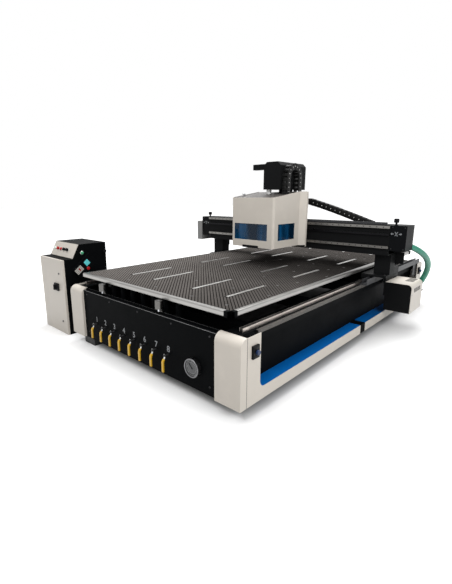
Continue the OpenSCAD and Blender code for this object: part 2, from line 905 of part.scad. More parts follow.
module cabinet_door() color("#cfc8bd") place() difference() {
    union() {
        span([cab_x, cab_right], [cab_y, cab_y + door_t - clearance], [door_gap, door_h - door_gap]);
        for (z = lock_z) bar_y(lock_x, [cab_y - lock_h, cab_y], z, lock_r);
        span([main_switch_x - main_base[0] / 2, main_switch_x + main_base[0] / 2],
            [cab_y - main_base[1], cab_y],
                [main_switch_z - main_base[2] / 2, main_switch_z + main_base[2] / 2]);
    }
    bar_y(main_switch_x, [cab_y - main_base[1] - 1, cab_y + door_t / 2], main_switch_z,
        shank_r + shaft_gap);
}

module main_switch_knob() color("#121212") place() {
    face = cab_y - main_base[1] - clearance;
    grip = main_knob_r / 2;
    bar_y(main_switch_x, [face - main_knob_h / 2, face], main_switch_z, main_knob_r);
    span([main_switch_x - grip / 2, main_switch_x + grip / 2], [face - main_knob_h, face - main_knob_h / 2],
        [main_switch_z - main_knob_r, main_switch_z + main_knob_r]);
    bar_y(main_switch_x, [face, cab_y + door_t / 2 - clearance], main_switch_z, shank_r);
}

// Moves to the tilted pendant on the cabinet's right side, with Z pointing away from the cabinet
module on_pendant() {
    translate([cab_right, pendant_mid[0], pendant_mid[1]]) rotate([pendant_a, 0, 0])
        rotate([90, 0, 90]) children();
}

module pendant() color("#1c1d20") place() on_pendant() difference() {
    union() {
        size = [pendant_size[0] - 2 * pendant_r, pendant_size[1]];
        translate([0, 0, pendant_hook]) linear_extrude(pendant_size[2]) {
            square(size, center = true);
            square([pendant_size[0], pendant_size[1] - 2 * pendant_r], center = true);
            for (x = [-1, 1], y = [-1, 1])
                translate([x * size[0] / 2, y * (size[1] / 2 - pendant_r)]) circle(pendant_r);
        }
        linear_extrude(pendant_hook) square(pendant_size[1] / 2, center = true);
    }
    translate([pendant_stop[0], pendant_stop[1], pendant_size[2] + pendant_hook - shank_l])
        cylinder(r = shank_r + shaft_gap, h = shank_l + 1);
}

module pendant_stop_button() color("#b3191d") place() on_pendant()
    translate([pendant_stop[0], pendant_stop[1], pendant_size[2] + pendant_hook]) union() {
        translate([0, 0, -shank_l / 2]) cylinder(r = shank_r, h = shank_l);
        translate([0, 0, shank_l / 2]) cylinder(r = panel_button_r, h = panel_button_h / 2);
    }

module gantry_beam() color("#141518") place() difference() {
    span([-beam_half, beam_half], [beam_y, beam_y + beam_d], [beam_z, beam_top]);
    span([-beam_half - 1, beam_half + 1], [beam_y + beam_wall, beam_y + beam_d - beam_wall],
        [beam_z + beam_wall, beam_top - beam_wall]);
}

module beam_end_blocks() color("#17191c") place() {
    both_sides() {
        span([beam_half, beam_half + end_w], end_y, [end_z, beam_top]);
        bar_z(beam_half + knob_inset, knob_y, [beam_top + seam, beam_top + knob_post_h], knob_post_r);
        bar_z(beam_half + knob_inset, knob_y, [beam_top + knob_post_h, beam_top + knob_post_h + knob_h],
            knob_r);
    }
    span([-beam_half - end_w - end_box_w, -beam_half - end_w - seam], end_box_y, end_box_z);
    hose_collar(gland_high, -route_dir(hose_path, 0));
}

module x_rails() color("#c9cacb") place() {
    for (z = x_rail_z) span([-beam_half, beam_half], [beam_y - x_rail_h, beam_y],
        [z - x_rail_w / 2, z + x_rail_w / 2]);
    span([-beam_half, beam_half], [beam_y - x_rack_d, beam_y], [x_rack_z, x_rack_z + x_rack_h]);
}

module gantry_legs() color("#15171a") place() both_sides() union() {
    span(foot_x, foot_y, [foot_z, foot_z + plate_h]);
    span(column_x, column_y, [foot_z + plate_h, beam_z]);
    difference() {
        span([column_x[0], column_x[1] + rear_plate_w], [end_y[1], end_y[1] + rear_plate_t], rear_plate_z);
        span([gland_high[0] - 2 * gland_r, gland_high[0]], [end_y[1] - 1, end_y[1] + rear_plate_t + 1],
            [gland_high[2] - 2 * gland_r, gland_high[2] + 2 * gland_r]);
    }
}

// Side outline of a bearing block that straddles a rail
module block_profile(rail, height, block, depth, lift) {
    difference() {
        translate([-block / 2, lift]) square([block, depth]);
        translate([-rail / 2 - clearance, 0]) square([rail + 2 * clearance, height + clearance]);
    }
}

module y_carriages() color("#55585c") place() both_sides() {
    blocks = [foot_y[0] + rail_block_end, drive_y[1] - rail_block_l - rail_block_end];
    for (y = blocks) translate([rail_x, 0, bed_top]) along_y([y, y + rail_block_l])
        block_profile(rail_w, rail_h, rail_block_w, rail_block_h - seam, rail_block_lift);
    span([foot_x[0], beam_out], [foot_y[0], drive_y[1]], [block_top, foot_z - seam]);
    difference() {
        union() {
            span([foot_x[0], mcover_x], drive_y, [foot_z, foot_z + plate_h]);
            span([drive_x, mcover_x], drive_y, [drive_z, foot_z]);
        }
        bar_x([drive_x - 1, mcover_x + 1], y_pinion_y, y_pinion_z, shaft_r + 1);
    }
    top = y_pinion_z + gearbox_rise;
    difference() {
        span([mcover_x + seam, mcover_x + gearbox[0]],
            [y_pinion_y - gearbox[1] / 2, y_pinion_y + gearbox[1] / 2],
            [top - gearbox[2], top]);
        bar_x([mcover_x - 1, mcover_x + shaft_seat], y_pinion_y, y_pinion_z, shaft_r + shaft_gap);
    }
    axis = y_pinion_z - motor_drop;
    span([mcover_x + gearbox[0] + seam, mcover_x + gearbox[0] + motor_l],
        [y_pinion_y - motor_w / 2, y_pinion_y + motor_w / 2], [axis - motor_w / 2, axis + motor_w / 2]);
}

// A toothed wheel with its axis on Z
module pinion(width) {
    step = 360 / pinion_teeth;
    root = pinion_r - tooth_root * pinion_add;
    tip = pinion_r + pinion_add;
    tooth = [[-tooth_half[0], root], [-tooth_half[1], tip], [tooth_half[1], tip], [tooth_half[0], root]];
    linear_extrude(width) polygon([for (i = [0 : pinion_teeth - 1], p = tooth)
        p[1] * [cos((i + p[0]) * step), sin((i + p[0]) * step)]]);
}

module y_pinions() color("#a8aaac") place() both_sides() union() {
    x = beam_out + pinion_gap;
    translate([x, y_pinion_y, y_pinion_z]) rotate([0, 90, 0]) pinion(pinion_w);
    bar_x([x + pinion_w, mcover_x + shaft_seat - clearance], y_pinion_y, y_pinion_z, shaft_r);
}

module mcover_profile(inset) {
    r = mcover_r - inset;
    low = mcover_top - mcover_h;
    out = mcover_x + mcover_w;
    translate([mcover_x, low - inset]) square([mcover_w - mcover_r, mcover_h]);
    translate([mcover_x, low - inset]) square([mcover_w - inset, mcover_h - mcover_r + inset]);
    translate([out - mcover_r, mcover_top - mcover_r]) circle(r);
}

module motor_covers() color("#d6d0c5") place() both_sides() difference() {
    along_y(mcover_y) mcover_profile(0);
    along_y([mcover_y[0] - 1, mcover_y[1] + 1]) mcover_profile(sheet);
    for (i = [0 : vent_count - 1])
        translate([mcover_x + mcover_w, y_pinion_y + (i - (vent_count - 1) / 2) * vent_pitch, vent_z])
            rotate([vent_tilt, 0, 0]) cube([4 * sheet, vent_w, vent_l], center = true);
}

module cover_frames() color("#101113") place() {
    both_sides() {
        for (y = [drive_y[0], drive_y[1] - sheet]) along_y([y, y + sheet]) intersection() {
            mcover_profile(sheet);
            translate([mcover_x, mcover_top - mcover_h]) square([mcover_w, mcover_h]);
        }
    }
    span([gland_low[0] - gland_shelf, mcover_x + mcover_w - 2 * sheet],
        [drive_y[1], gland_low[1] + gland_rim],
        [gland_low_z - tube_wall, gland_low_z]);
    hose_collar(gland_low, route_dir(hose_path, hose_steps));
}

module beam_tray() color("#77797b") place() {
    floor_z = chain_low_z - chain_h / 2 - clearance - sheet;
    walls = chain_y + [-2 * sheet, 2 * sheet];
    span(xtray_x, xtray_y, [beam_top, beam_top + sheet]);
    span(xtray_x, [xtray_y[0], xtray_y[0] + sheet], [beam_top + sheet, beam_top + xtray_h]);
    span(xtray_x, walls, [floor_z, floor_z + sheet]);
    for (y = [walls[0], walls[1] - sheet])
        span(xtray_x, [y, y + sheet], [floor_z + sheet, floor_z + xtray_h]);
    for (x = xtray_arm_x)
        span([x, x + xtray_arm_w], [beam_y + beam_d + seam, walls[0]], [floor_z, floor_z + xtray_h]);
    span([xtray_x[0] + chain_w, chain_bend_x], chain_y,
        [chain_low_z - chain_h / 2, chain_low_z + chain_h / 2]);
}

// Point on a curve with four control points
function curve_point(k, t) = pow(1 - t, 3) * k[0] + 3 * pow(1 - t,
    2) * t * k[1] + 3 * (1 - t) * t * t * k[2]
    + t * t * t * k[3];

// Points of a ring round a route point, square to the route there
function route_dir(path, i) =
    let (a = path[max(i - 1, 0)], b = path[min(i + 1, len(path) - 1)]) (b - a) / norm(b - a);
function route_ring(path, i, r, sides) =
    let (d = route_dir(path, i), u = cross(d, hose_side_hint), s = u / norm(u), t = cross(d, s))
    [for (k = [0 : sides - 1]) path[i] + r * (cos(k * 360 / sides) * s + sin(k * 360 / sides) * t)];

// Collar at a hose end, square to the hose there
module hose_collar(at, d) translate(at + seam * d) rotate([0, acos(d[2]), atan2(d[1], d[0])])
    cylinder(r = gland_r, h = gland_seat);

module swept_tube(path, r, sides) {
    rings = len(path);
    points = [for (i = [0 : rings - 1]) each route_ring(path, i, r, sides)];
    walls = [for (i = [0 : rings - 2], k = [0 : sides - 1]) each [
        [i * sides + k, i * sides + (k + 1) % sides, (i + 1) * sides + k],
        [i * sides + (k + 1) % sides, (i + 1) * sides + (k + 1) % sides, (i + 1) * sides + k]]];
    first = [for (k = [0 : sides - 1]) sides - 1 - k];
    last = [for (k = [0 : sides - 1]) (rings - 1) * sides + k];
    polyhedron(points = points, faces = concat(walls, [first], [last]), convexity = 6);
}

module air_hose() color("#2f8f74") place() swept_tube(hose_path, hose_r, hose_sides);

module x_carriage() color("#c9c2b7") place() {
    difference() {
        span(carriage_x, [carriage_front, carriage_back], carriage_z);
        bar_y(x_motor_x, [carriage_front - 1, carriage_back + 1], x_pinion_z, shaft_r + 1);
    }
    for (x = [head_x - x_block_off, head_x + x_block_off], z = x_rail_z)
        translate([x - x_block_l / 2, beam_y, z]) rotate([90, 0, 90]) linear_extrude(x_block_l) rotate(90)
            block_profile(x_rail_w, x_rail_h, x_block_h,
                beam_y - carriage_back - rail_block_lift - seam, rail_block_lift);
    for (s = [-1, 1]) span([head_x + s * z_rail_off - z_rail_w / 2, head_x + s * z_rail_off + z_rail_w / 2],
        [carriage_front - z_rail_h, carriage_front - seam], z_rail_z);
    difference() {
        span([x_motor_x - x_motor_w / 2, x_motor_x + x_motor_w / 2],
            [carriage_front - x_motor_l, carriage_front - seam],
            [x_pinion_z - x_motor_w / 2, x_pinion_z + x_motor_w / 2]);
        bar_y(x_motor_x, [carriage_front - shaft_seat, carriage_front + 1], x_pinion_z,
            shaft_r + shaft_gap);
    }
    span(shelf_x, [carriage_back + seam, shelf_y], [shelf_z, shelf_z + shelf_t]);
    span([shelf_x[1] - shelf_t, shelf_x[1]], [chain_y[0], chain_y[1]],
        [shelf_z + shelf_t, chain_top[1] + chain_h / 2]);
}

module x_pinion() color("#a8aaac") place() union() {
    y = carriage_back + x_pinion_gap;
    translate([x_motor_x, y + x_pinion_w, x_pinion_z]) rotate([90, 0, 0]) pinion(x_pinion_w);
    bar_y(x_motor_x, [carriage_front - shaft_seat + clearance, y], x_pinion_z, shaft_r);
}

module x_chain_run() color("#1d1e20") place() {
    along_y(chain_y) polygon([[chain_top[0], chain_top[1] - chain_h / 2],
        [chain_bend_x, chain_end_z - chain_h / 2], [chain_bend_x, chain_end_z + chain_h / 2],
        [chain_top[0], chain_top[1] + chain_h / 2]]);
}

module x_chain_bend() color("#1d1e20") place()
    translate([chain_bend_x, chain_y[1], chain_low_z + chain_bend_r])
    rotate([90, 0, 0]) linear_extrude(chain_w) intersection() {
        difference() {
            circle(chain_bend_r + chain_h / 2);
            circle(chain_bend_r - chain_h / 2);
        }
        translate([clearance, -2 * chain_h]) square(4 * chain_h);
    }

// Plan of the head cover, drawn in by a wall
module head_plan(wall) {
    l = head_x - head_w / 2 + wall;
    r = head_x + head_w / 2 - wall;
    f = head_y + wall;
    q = head_r - wall;
    turn = wall * tan(flare_half);
    polygon([[l + q, f], [r - q, f], [r, f + q], [r, head_side + turn], [r + flare - turn, carriage_front],
        [l - flare + turn, carriage_front], [l, head_side + turn], [l, f + q]]);
    for (x = [l + q, r - q]) translate([x, f + q]) circle(q);
}

module head_cover() color("#d9d3c9") place() {
    difference() {
        translate([0, 0, head_z]) linear_extrude(head_h + head_rise) head_plan(0);
        translate([0, 0, head_z - 1]) linear_extrude(head_h + head_rise + 2) head_plan(head_sheet);
        along_x([carriage_x[0] - 1, carriage_x[1] + 1]) polygon([[head_y - 1, head_top],
            [head_side, head_top + head_rise], [head_side, head_top + 2 * head_rise],
                [head_y - 1, head_top + 2 * head_rise]]);
        span(moved(window_front_x, head_x), [head_y - 1, head_y + head_sheet + 1], moved(window_z, head_z));
        span([head_x - head_w, head_x + head_w], moved(window_side_y, head_y), moved(window_z, head_z));
        span(moved(notch_x, head_x), [head_y - 1, head_y + head_sheet + 1], [head_z - 1, head_z + notch_h]);
    }
    lid = [[head_y, head_top - deck_drop], [head_side, head_top + head_rise - deck_drop],
        [carriage_front - seam, head_top + head_rise - deck_drop]];
    difference() {
        intersection() {
            along_x(carriage_x) polygon(concat(lid, [for (i = [2, 1, 0]) lid[i] - [0, head_sheet]]));
            translate([0, 0, head_z]) linear_extrude(head_h + head_rise) head_plan(head_sheet + seam);
        }
        span([zchain_x - 2 * sheet, zchain_x + zchain_w + 2 * sheet],
            [zchain_y[0] - zchain_h, zchain_y[0] + zchain_h], [head_top, head_top + head_rise]);
        bar_z(balance_x, balance_y, [head_top, head_top + head_rise], balance_r + sheet);
    }
}

module head_windows() color("#1f6fb0") place() {
    y = [head_y + head_sheet, head_y + 2 * head_sheet];
    z = moved(window_z, head_z) + [-window_lap, window_lap];
    span(moved(window_front_x, head_x) + [-window_lap, window_lap], y, z);
    for (x = [head_x - head_w / 2 + head_sheet, head_x + head_w / 2 - 2 * head_sheet])
        span([x, x + head_sheet], moved(window_side_y, head_y) + [-window_lap, window_lap], z);
}

module z_housing() color("#17181b") place() {
    along_y(housing_y) polygon([[housing_x[0], housing_z[0]], [housing_x[1], housing_z[0]],
        [housing_x[1], housing_z[1] - housing_cut], [housing_x[1] - housing_cut, housing_z[1]],
        [housing_x[0] + housing_cut, housing_z[1]], [housing_x[0], housing_z[1] - housing_cut]]);
    span(pedestal_x, [carriage_front, carriage_back], [carriage_z[1], housing_z[0] - seam]);
    span([housing_x[0] - arm_l, housing_x[0] - seam], moved([arm_w / 2, 3 * arm_w / 2], housing_y[0]),
        [arm_z, arm_z + arm_w]);
    bar_z(balance_x, balance_y, [head_top - deck_drop, housing_z[0] - seam], balance_r);
}

module z_chain() color("#1d1e20") place() {
    for (y = zchain_y) span([zchain_x, zchain_x + zchain_w], [y - zchain_h / 2, y + zchain_h / 2],
        [y == zchain_y[0] ? zchain_low : carriage_z[1] + seam, zchain_top]);
    translate([zchain_x, (zchain_y[0] + zchain_y[1]) / 2, zchain_top]) rotate([90, 0, 90])
        linear_extrude(zchain_w)
        intersection() {
            difference() {
                circle(zchain_r + zchain_h / 2);
                circle(zchain_r - zchain_h / 2);
            }
            translate([-2 * zchain_r, 0]) square(4 * zchain_r);
        }
}

module z_slide() color("#4a4d51") place() {
    span([head_x - z_plate_half, head_x + z_plate_half], [z_plate_y - z_plate_t, z_plate_y], z_plate_z);
    for (s = [-1, 1], z = [z_plate_z[1] - 3 * z_block_l, z_plate_z[1] - z_block_l])
        translate([head_x + s * z_rail_off, carriage_front, z]) rotate([0, 0, 180])
            linear_extrude(z_block_l)
            block_profile(z_rail_w, z_rail_h, z_block_w,
                carriage_front - z_plate_y - rail_block_lift - seam, rail_block_lift);
    for (z = clamp_z) difference() {
        span([head_x - spindle_r - clamp_wall, head_x + spindle_r + clamp_wall],
            [spindle_y - spindle_r - clamp_wall, z_plate_y - z_plate_t - seam], [z, z + clamp_h]);
        bar_z(head_x, spindle_y, [z - 1, z + clamp_h + 1], spindle_r + seam);
    }
    difference() {
        union() {
            bar_z(head_x, spindle_y, spindle_z, spindle_r);
            bar_z(head_x, spindle_y, [spindle_z[0] - nose_h, spindle_z[0]], nose_r);
        }
        bar_z(head_x, spindle_y, [spindle_z[0] - nose_h - 1, spindle_z[0] + 2 * nose_h],
            rotor_r + rotor_gap);
    }
    span([head_x + z_plate_half - clamp_wall, zchain_x + zchain_w],
        [zchain_y[0] - zchain_h / 2, z_plate_y - z_plate_t - seam],
        [zchain_low - shelf_t, zchain_low]);
}

module spindle_rotor() color("#b9bbbd") place() {
    face = spindle_z[0] - nose_h - clearance;
    difference() {
        union() {
            bar_z(head_x, spindle_y, [face - nut_h, face], nut_r);
            bar_z(head_x, spindle_y, [face, spindle_z[0] + 2 * nose_h - clearance], rotor_r);
        }
        bar_z(head_x, spindle_y, [face - nut_h - 1, face - nut_h + collet_depth], collet_r);
    }
}

bed_frame();
frame_posts();
levelling_feet();
front_panel();
bed_panels();
corner_covers();
side_skirts();
skirt_ledges();
vacuum_boards();
table_edges();
t_slot_tracks();
y_rails();
y_racks();
vacuum_manifold();
valve_bodies();
vacuum_gauge();
gauge_needle();
locating_cylinders();
locating_pins();
switch_boxes();
switch_button_front();
switch_button_rear();
y_chain_tray();
valve_handle_1();
valve_handle_2();
valve_handle_3();
valve_handle_4();
valve_handle_5();
valve_handle_6();
valve_handle_7();
valve_handle_8();
cabinet_body();
cabinet_door();
main_switch_knob();
control_panel();
stop_button();
selector_left();
selector_right();
pendant();
pendant_stop_button();
gantry_beam();
beam_end_blocks();
x_rails();
gantry_legs();
y_carriages();
y_pinions();
motor_covers();
cover_frames();
beam_tray();
air_hose();
x_carriage();
x_pinion();
x_chain_run();
x_chain_bend();
head_cover();
head_windows();
z_housing();
z_chain();
z_slide();
spindle_rotor();
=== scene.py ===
import math
import bmesh
import bpy
from mathutils import Matrix, Vector


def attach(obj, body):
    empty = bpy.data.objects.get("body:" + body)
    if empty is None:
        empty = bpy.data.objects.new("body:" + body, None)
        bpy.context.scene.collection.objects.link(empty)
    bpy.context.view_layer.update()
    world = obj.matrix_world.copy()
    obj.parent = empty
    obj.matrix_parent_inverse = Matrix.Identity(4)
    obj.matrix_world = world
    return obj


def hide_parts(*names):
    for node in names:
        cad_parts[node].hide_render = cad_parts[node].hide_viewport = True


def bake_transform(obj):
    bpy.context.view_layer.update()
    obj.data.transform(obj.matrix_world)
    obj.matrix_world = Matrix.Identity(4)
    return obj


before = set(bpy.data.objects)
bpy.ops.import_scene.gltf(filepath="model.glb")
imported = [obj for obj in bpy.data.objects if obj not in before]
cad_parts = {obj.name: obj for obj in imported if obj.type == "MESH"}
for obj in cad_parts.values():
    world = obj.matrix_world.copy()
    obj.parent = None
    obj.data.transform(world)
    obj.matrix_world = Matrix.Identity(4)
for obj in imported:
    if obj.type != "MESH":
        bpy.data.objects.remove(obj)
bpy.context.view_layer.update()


# The camera stands at the right front corner of the machine, a little above the bridge.
# spot() takes the machine builder's millimetres: X from the table's centre line, Y from
# the front of the corner covers, Z from the floor.
scene = bpy.context.scene
footprint_x = -192.0
footprint_y = 1781.0


def spot(x, y, z):
    return Vector(((x - footprint_x) / 1000.0, (y - footprint_y) / 1000.0, z / 1000.0))


lens = bpy.data.cameras.new("camera")
lens.lens = 22.88
lens.shift_x = 0.0156
lens.shift_y = -0.0183
lens.clip_start = 0.05
camera = bpy.data.objects.new("camera", lens)
camera.location = spot(2211.8, -1516.1, 1317.1)
camera.rotation_euler = (math.radians(77.2), 0.0, math.radians(42.6))
scene.collection.objects.link(camera)
scene.camera = camera


# The air hose is smooth green polyurethane tube, pushed over a barb at the end of the
# bridge and into a gland behind the right motor cover. It bows out under its own stiffness.
class Field:
    """A socket of a node tree that takes part in arithmetic."""

    def __init__(self, nodes, socket):
        self.nodes = nodes
        self.socket = socket

    def of(self, name):
        return Field(self.nodes, self.socket.node.outputs[name])

    def math(self, operation, *others):
        return self.nodes.node("Math", {"operation": operation}, self, *others)

    def turned(self, operation, other):
        return self.nodes.node("Math", {"operation": operation}, other, self)

    def __add__(self, other):
        return self.math("ADD", other)

    def __radd__(self, other):
        return self.turned("ADD", other)

    def __sub__(self, other):
        return self.math("SUBTRACT", other)

    def __rsub__(self, other):
        return self.turned("SUBTRACT", other)

    def __mul__(self, other):
        return self.math("MULTIPLY", other)

    def __rmul__(self, other):
        return self.turned("MULTIPLY", other)

    def __gt__(self, other):
        return self.math("GREATER_THAN", other)

    def __lt__(self, other):
        return self.math("LESS_THAN", other)


class Nodes:
    """A node tree and its shader: put() sets or links a socket, and node() adds a node."""

    def __init__(self, tree, shader):
        self.tree = tree
        self.shader = tree.nodes[shader]

    def put(self, socket, value):
        target = self.shader.inputs[socket] if isinstance(socket, str) else socket
        if isinstance(value, Field):
            self.tree.links.new(value.socket, target)
        else:
            target.default_value = value

    def node(self, kind, settings, *values, at=None, **named):
        made = self.tree.nodes.new("ShaderNode" + kind)
        for key, value in settings.items():
            setattr(made, key, value)
        for index, value in list(enumerate(values)) + list((at or {}).items()):
            self.put(made.inputs[index], value)
        for key, value in named.items():
            self.put(made.inputs[key.replace("_", " ")], value)
        first = next(output for output in made.outputs if output.enabled)
        return Field(self, first)


class Finish(Nodes):
    """A surface finish: one principled shader, and what changes over the surface."""

    def __init__(self, name, color, roughness, metallic=0.0, **fixed):
        self.material = bpy.data.materials.new(name)
        self.material.use_nodes = True
        super().__init__(self.material.node_tree, "Principled BSDF")
        self.color = color
        self.put("Base Color", (*color, 1.0))
        self.put("Roughness", roughness)
        self.put("Metallic", metallic)
        for key, value in fixed.items():
            self.put(key.replace("_", " "), value)
        self.place = self.node("TexCoord", {}).of("Object")

    def axis(self, letter):
        return self.node("SeparateXYZ", {}, self.place).of(letter)

    def noise(self, scale, detail, stretch=(1.0, 1.0, 1.0)):
        spread = self.node("Mapping", {}, self.place, Scale=stretch)
        return self.node("TexNoise", {}, Vector=spread, Scale=scale, Detail=detail)

    def ramp(self, field, low, high):
        return self.node("MapRange", {"clamp": True}, field, low, high, 0.0, 1.0)

    def blend(self, mask, first, second):
        return self.node("Mix", {"data_type": "RGBA"}, at={0: mask, 6: first, 7: second})

    def shade(self, amount):
        return tuple(part * amount for part in self.color) + (1.0,)

    def tone(self, mask, first, second):
        """Shades of the finish's own colour, from first to second as the mask rises."""
        self.put("Base Color", self.blend(mask, self.shade(first), self.shade(second)))

    def over(self, mask, color):
        """Another colour over the one so far, where the mask is 1."""
        so_far = Field(self, self.shader.inputs["Base Color"].links[0].from_socket)
        self.put("Base Color", self.blend(mask, so_far, color))

    def bump(self, height, strength, distance):
        self.put("Normal", self.node("Bump", {}, Strength=strength, Distance=distance, Height=height))


hose_finish = Finish("hose_green", (0.012, 0.205, 0.130), 0.36, Coat_Weight=0.12, Coat_Roughness=0.2)
hose_finish.tone(hose_finish.noise(9.0, 3.0), 0.75, 1.25)
hose_finish.put("Roughness", hose_finish.noise(60.0, 3.0) * 0.25 + 0.22)
hose_finish.bump(hose_finish.noise(25.0, 2.0), 0.06, 0.002)

hose_knots = [Vector(knot) for knot in
              ((1211, 2192, 876), (1381, 2372, 781), (1310, 2701, 620), (1200, 2656, 400))]
hose_steps = 36
hose_route = []
for k in range(hose_steps + 1):
    t = k / hose_steps
    hose_route.append((1 - t) ** 3 * hose_knots[0] + 3 * (1 - t) ** 2 * t * hose_knots[1]
                      + 3 * (1 - t) * t * t * hose_knots[2] + t ** 3 * hose_knots[3])
hose_line = bpy.data.curves.new("air_hose_line", "CURVE")
hose_line.dimensions = "3D"
hose_line.bevel_depth = 0.027
hose_line.bevel_resolution = 8
hose_line.use_fill_caps = True
hose_path = hose_line.splines.new("POLY")
hose_path.points.add(len(hose_route) - 1)
for point, where in zip(hose_path.points, hose_route):
    point.co = (*spot(*where), 1.0)
hose_length = sum((b - a).length for a, b in zip(hose_route, hose_route[1:])) / 1000.0
hose = bpy.data.objects.new("air_hose_tube", hose_line)
scene.collection.objects.link(hose)
hose_line.materials.append(hose_finish.material)
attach(hose, "gantry")
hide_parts("air_hose")
spot(*hose_route[0])


# The bed is a welded frame of square tube, blasted and powder coated black, with a fine
# sandy texture. The legs, infill panels, front panel and cabinet share the coat.
def powder_coat(name, color, roughness, grain, gloss):
    finish = Finish(name, color, roughness, Specular_IOR_Level=gloss)
    mottle = finish.noise(2.5, 4.0)
    sand = finish.noise(1100.0, 1.0)
    dust = finish.ramp(finish.noise(7.0, 6.0), 0.52, 0.78)
    settled = finish.blend(dust * 0.35, finish.shade(0.92), finish.shade(1.18))
    finish.put("Base Color", finish.blend(mottle * 0.5, settled, finish.shade(1.04)))
    finish.put("Roughness", mottle * 0.14 + sand * 0.1 + dust * 0.1 + (roughness - 0.15))
    finish.bump(sand, grain, 0.0006)
    return finish


def dress(finish, *names):
    for name in names:
        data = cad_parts[name].data
        data.materials.clear()
        data.materials.append(finish.material)


black_coat = powder_coat("black_coat", (0.0030, 0.0034, 0.0038), 0.50, 0.2, 0.012)
dress(black_coat, "bed_frame", "frame_posts", "bed_panels", "front_panel", "cabinet_body", "vacuum_manifold")


# The feet are iron blocks with a jack screw, standing on the floor under the legs.
# They carry a worn dark paint with a rough cast skin.
cast_skin = Finish("cast_skin", (0.018, 0.018, 0.019), 0.62)
skin = cast_skin.noise(180.0, 4.0)
chips = cast_skin.ramp(cast_skin.noise(22.0, 5.0), 0.60, 0.68)
cast_skin.put("Base Color", cast_skin.blend(chips * 0.4, cast_skin.shade(1.0), (0.10, 0.09, 0.085, 1.0)))
cast_skin.put("Roughness", skin * 0.25 + 0.48)
cast_skin.bump(skin, 0.5, 0.002)
dress(cast_skin, "levelling_feet")


# The corner covers, lower skirts, motor covers and hood are bent sheet with an off-white
# semi-gloss coat: a faint orange peel, and a little grime that settles in patches.
def cream_sheet(name):
    return powder_coat(name, (0.600, 0.555, 0.495), 0.42, 0.10, 0.35)


cream_coat = cream_sheet("cream_coat")
dress(cream_coat, "corner_covers", "side_skirts", "motor_covers")


# The ledge that closes the top of each skirt is the same bent sheet in a bright blue coat.
# It shows as a stripe along the side of the bed.
blue_coat = powder_coat("blue_coat", (0.0005, 0.130, 0.460), 0.38, 0.10, 0.25)
dress(blue_coat, "skirt_ledges")


# The rails are ground linear guides with patches of oil. The bed rails are dark on top, with
# a painted highlight along their flanks.
# The rack on the bridge is blackened, and the racks of the bed have milled teeth that show
# as fine stripes, painted dark in the gaps as the shade between the teeth. Pins, pinions and
# valve bodies are turned from the same steel.
def ground_steel(name, along, color=(0.42, 0.43, 0.45)):
    finish = Finish(name, color, 0.3, 1.0)
    stretch = [260.0, 260.0, 260.0]
    stretch[along] = 3.0
    lines = finish.noise(1.0, 3.0, tuple(stretch))
    oil = finish.ramp(finish.noise(5.0, 5.0), 0.42, 0.7)
    finish.tone(oil * 0.5, 1.0, 0.62)
    finish.put("Roughness", lines * 0.22 + oil * 0.12 + 0.18)
    finish.bump(lines, 0.08, 0.0005)
    return finish


rail_line = 912
flank_highlight_from = 0.0105
steel_y = ground_steel("steel_along_y", 1, (0.095, 0.088, 0.082))
from_centre = (steel_y.axis("X") - spot(0, 0, 0).x).math("ABSOLUTE")
from_rail = (from_centre - rail_line / 1000.0).math("ABSOLUTE")
# The pale colour beyond the top of each bed rail is a painted highlight on its flanks.
steel_y.over(from_rail > flank_highlight_from, (0.52, 0.47, 0.43, 1.0))
dress(steel_y, "y_rails")

near_black = (0.012, 0.012, 0.013, 1.0)
rack_low, rack_high = 0.972, 1.008
bridge_steel = ground_steel("steel_and_dark_rack", 0, (0.20, 0.193, 0.182))
bridge_z = bridge_steel.axis("Z")
bridge_steel.over((bridge_z > rack_low) * (bridge_z < rack_high), near_black)
dress(bridge_steel, "x_rails")

steel_z = ground_steel("steel_along_z", 2)
dress(steel_z, "spindle_rotor", "locating_pins", "x_pinion", "y_pinions", "valve_bodies")

half_tooth_pitch = 0.0031
rack_steel = Finish("rack_steel", (0.105, 0.098, 0.090), 0.36, 1.0)
tooth = rack_steel.ramp(rack_steel.axis("Y").math("PINGPONG", half_tooth_pitch), 0.0008, 0.0022)
# The gaps between the teeth are painted darker, as the shade in them.
rack_steel.tone(tooth, 0.35, 1.1)
rack_steel.put("Roughness", rack_steel.noise(40.0, 3.0) * 0.25 + 0.24)
rack_steel.bump(tooth, 0.8, 0.002)
dress(rack_steel, "y_racks")


# Every 60 mm a bolt hole of the bed rails is closed by a black cap, pressed in flush. Small
# pieces such as these caps are drawn in the machine's millimetres, with one mesh for each
# piece, and their edges are broken, as a deburred or moulded edge is.
upward = (0, 0, 1)


def shape(name, body, finishes, build, instead=(), flat=False):
    work = bmesh.new()
    build(work)
    bmesh.ops.recalc_face_normals(work, faces=work.faces)
    work.transform(Matrix.Translation(spot(0, 0, 0)) @ Matrix.Scale(0.001, 4))
    data = bpy.data.meshes.new(name)
    work.to_mesh(data)
    work.free()
    for finish in finishes if isinstance(finishes, (list, tuple)) else [finishes]:
        data.materials.append(finish.material)
    made = bpy.data.objects.new(name, data)
    scene.collection.objects.link(made)
    if not flat:
        data.shade_smooth()
        made.modifiers.new("edges", "EDGE_SPLIT").split_angle = math.radians(38)
    if body:
        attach(made, body)
    if instead:
        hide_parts(*instead)
    return made


def finish_part(work, verts, paint, move=None):
    if move:
        bmesh.ops.transform(work, matrix=move, verts=verts)
    for face in {f for v in verts for f in v.link_faces}:
        face.material_index = paint


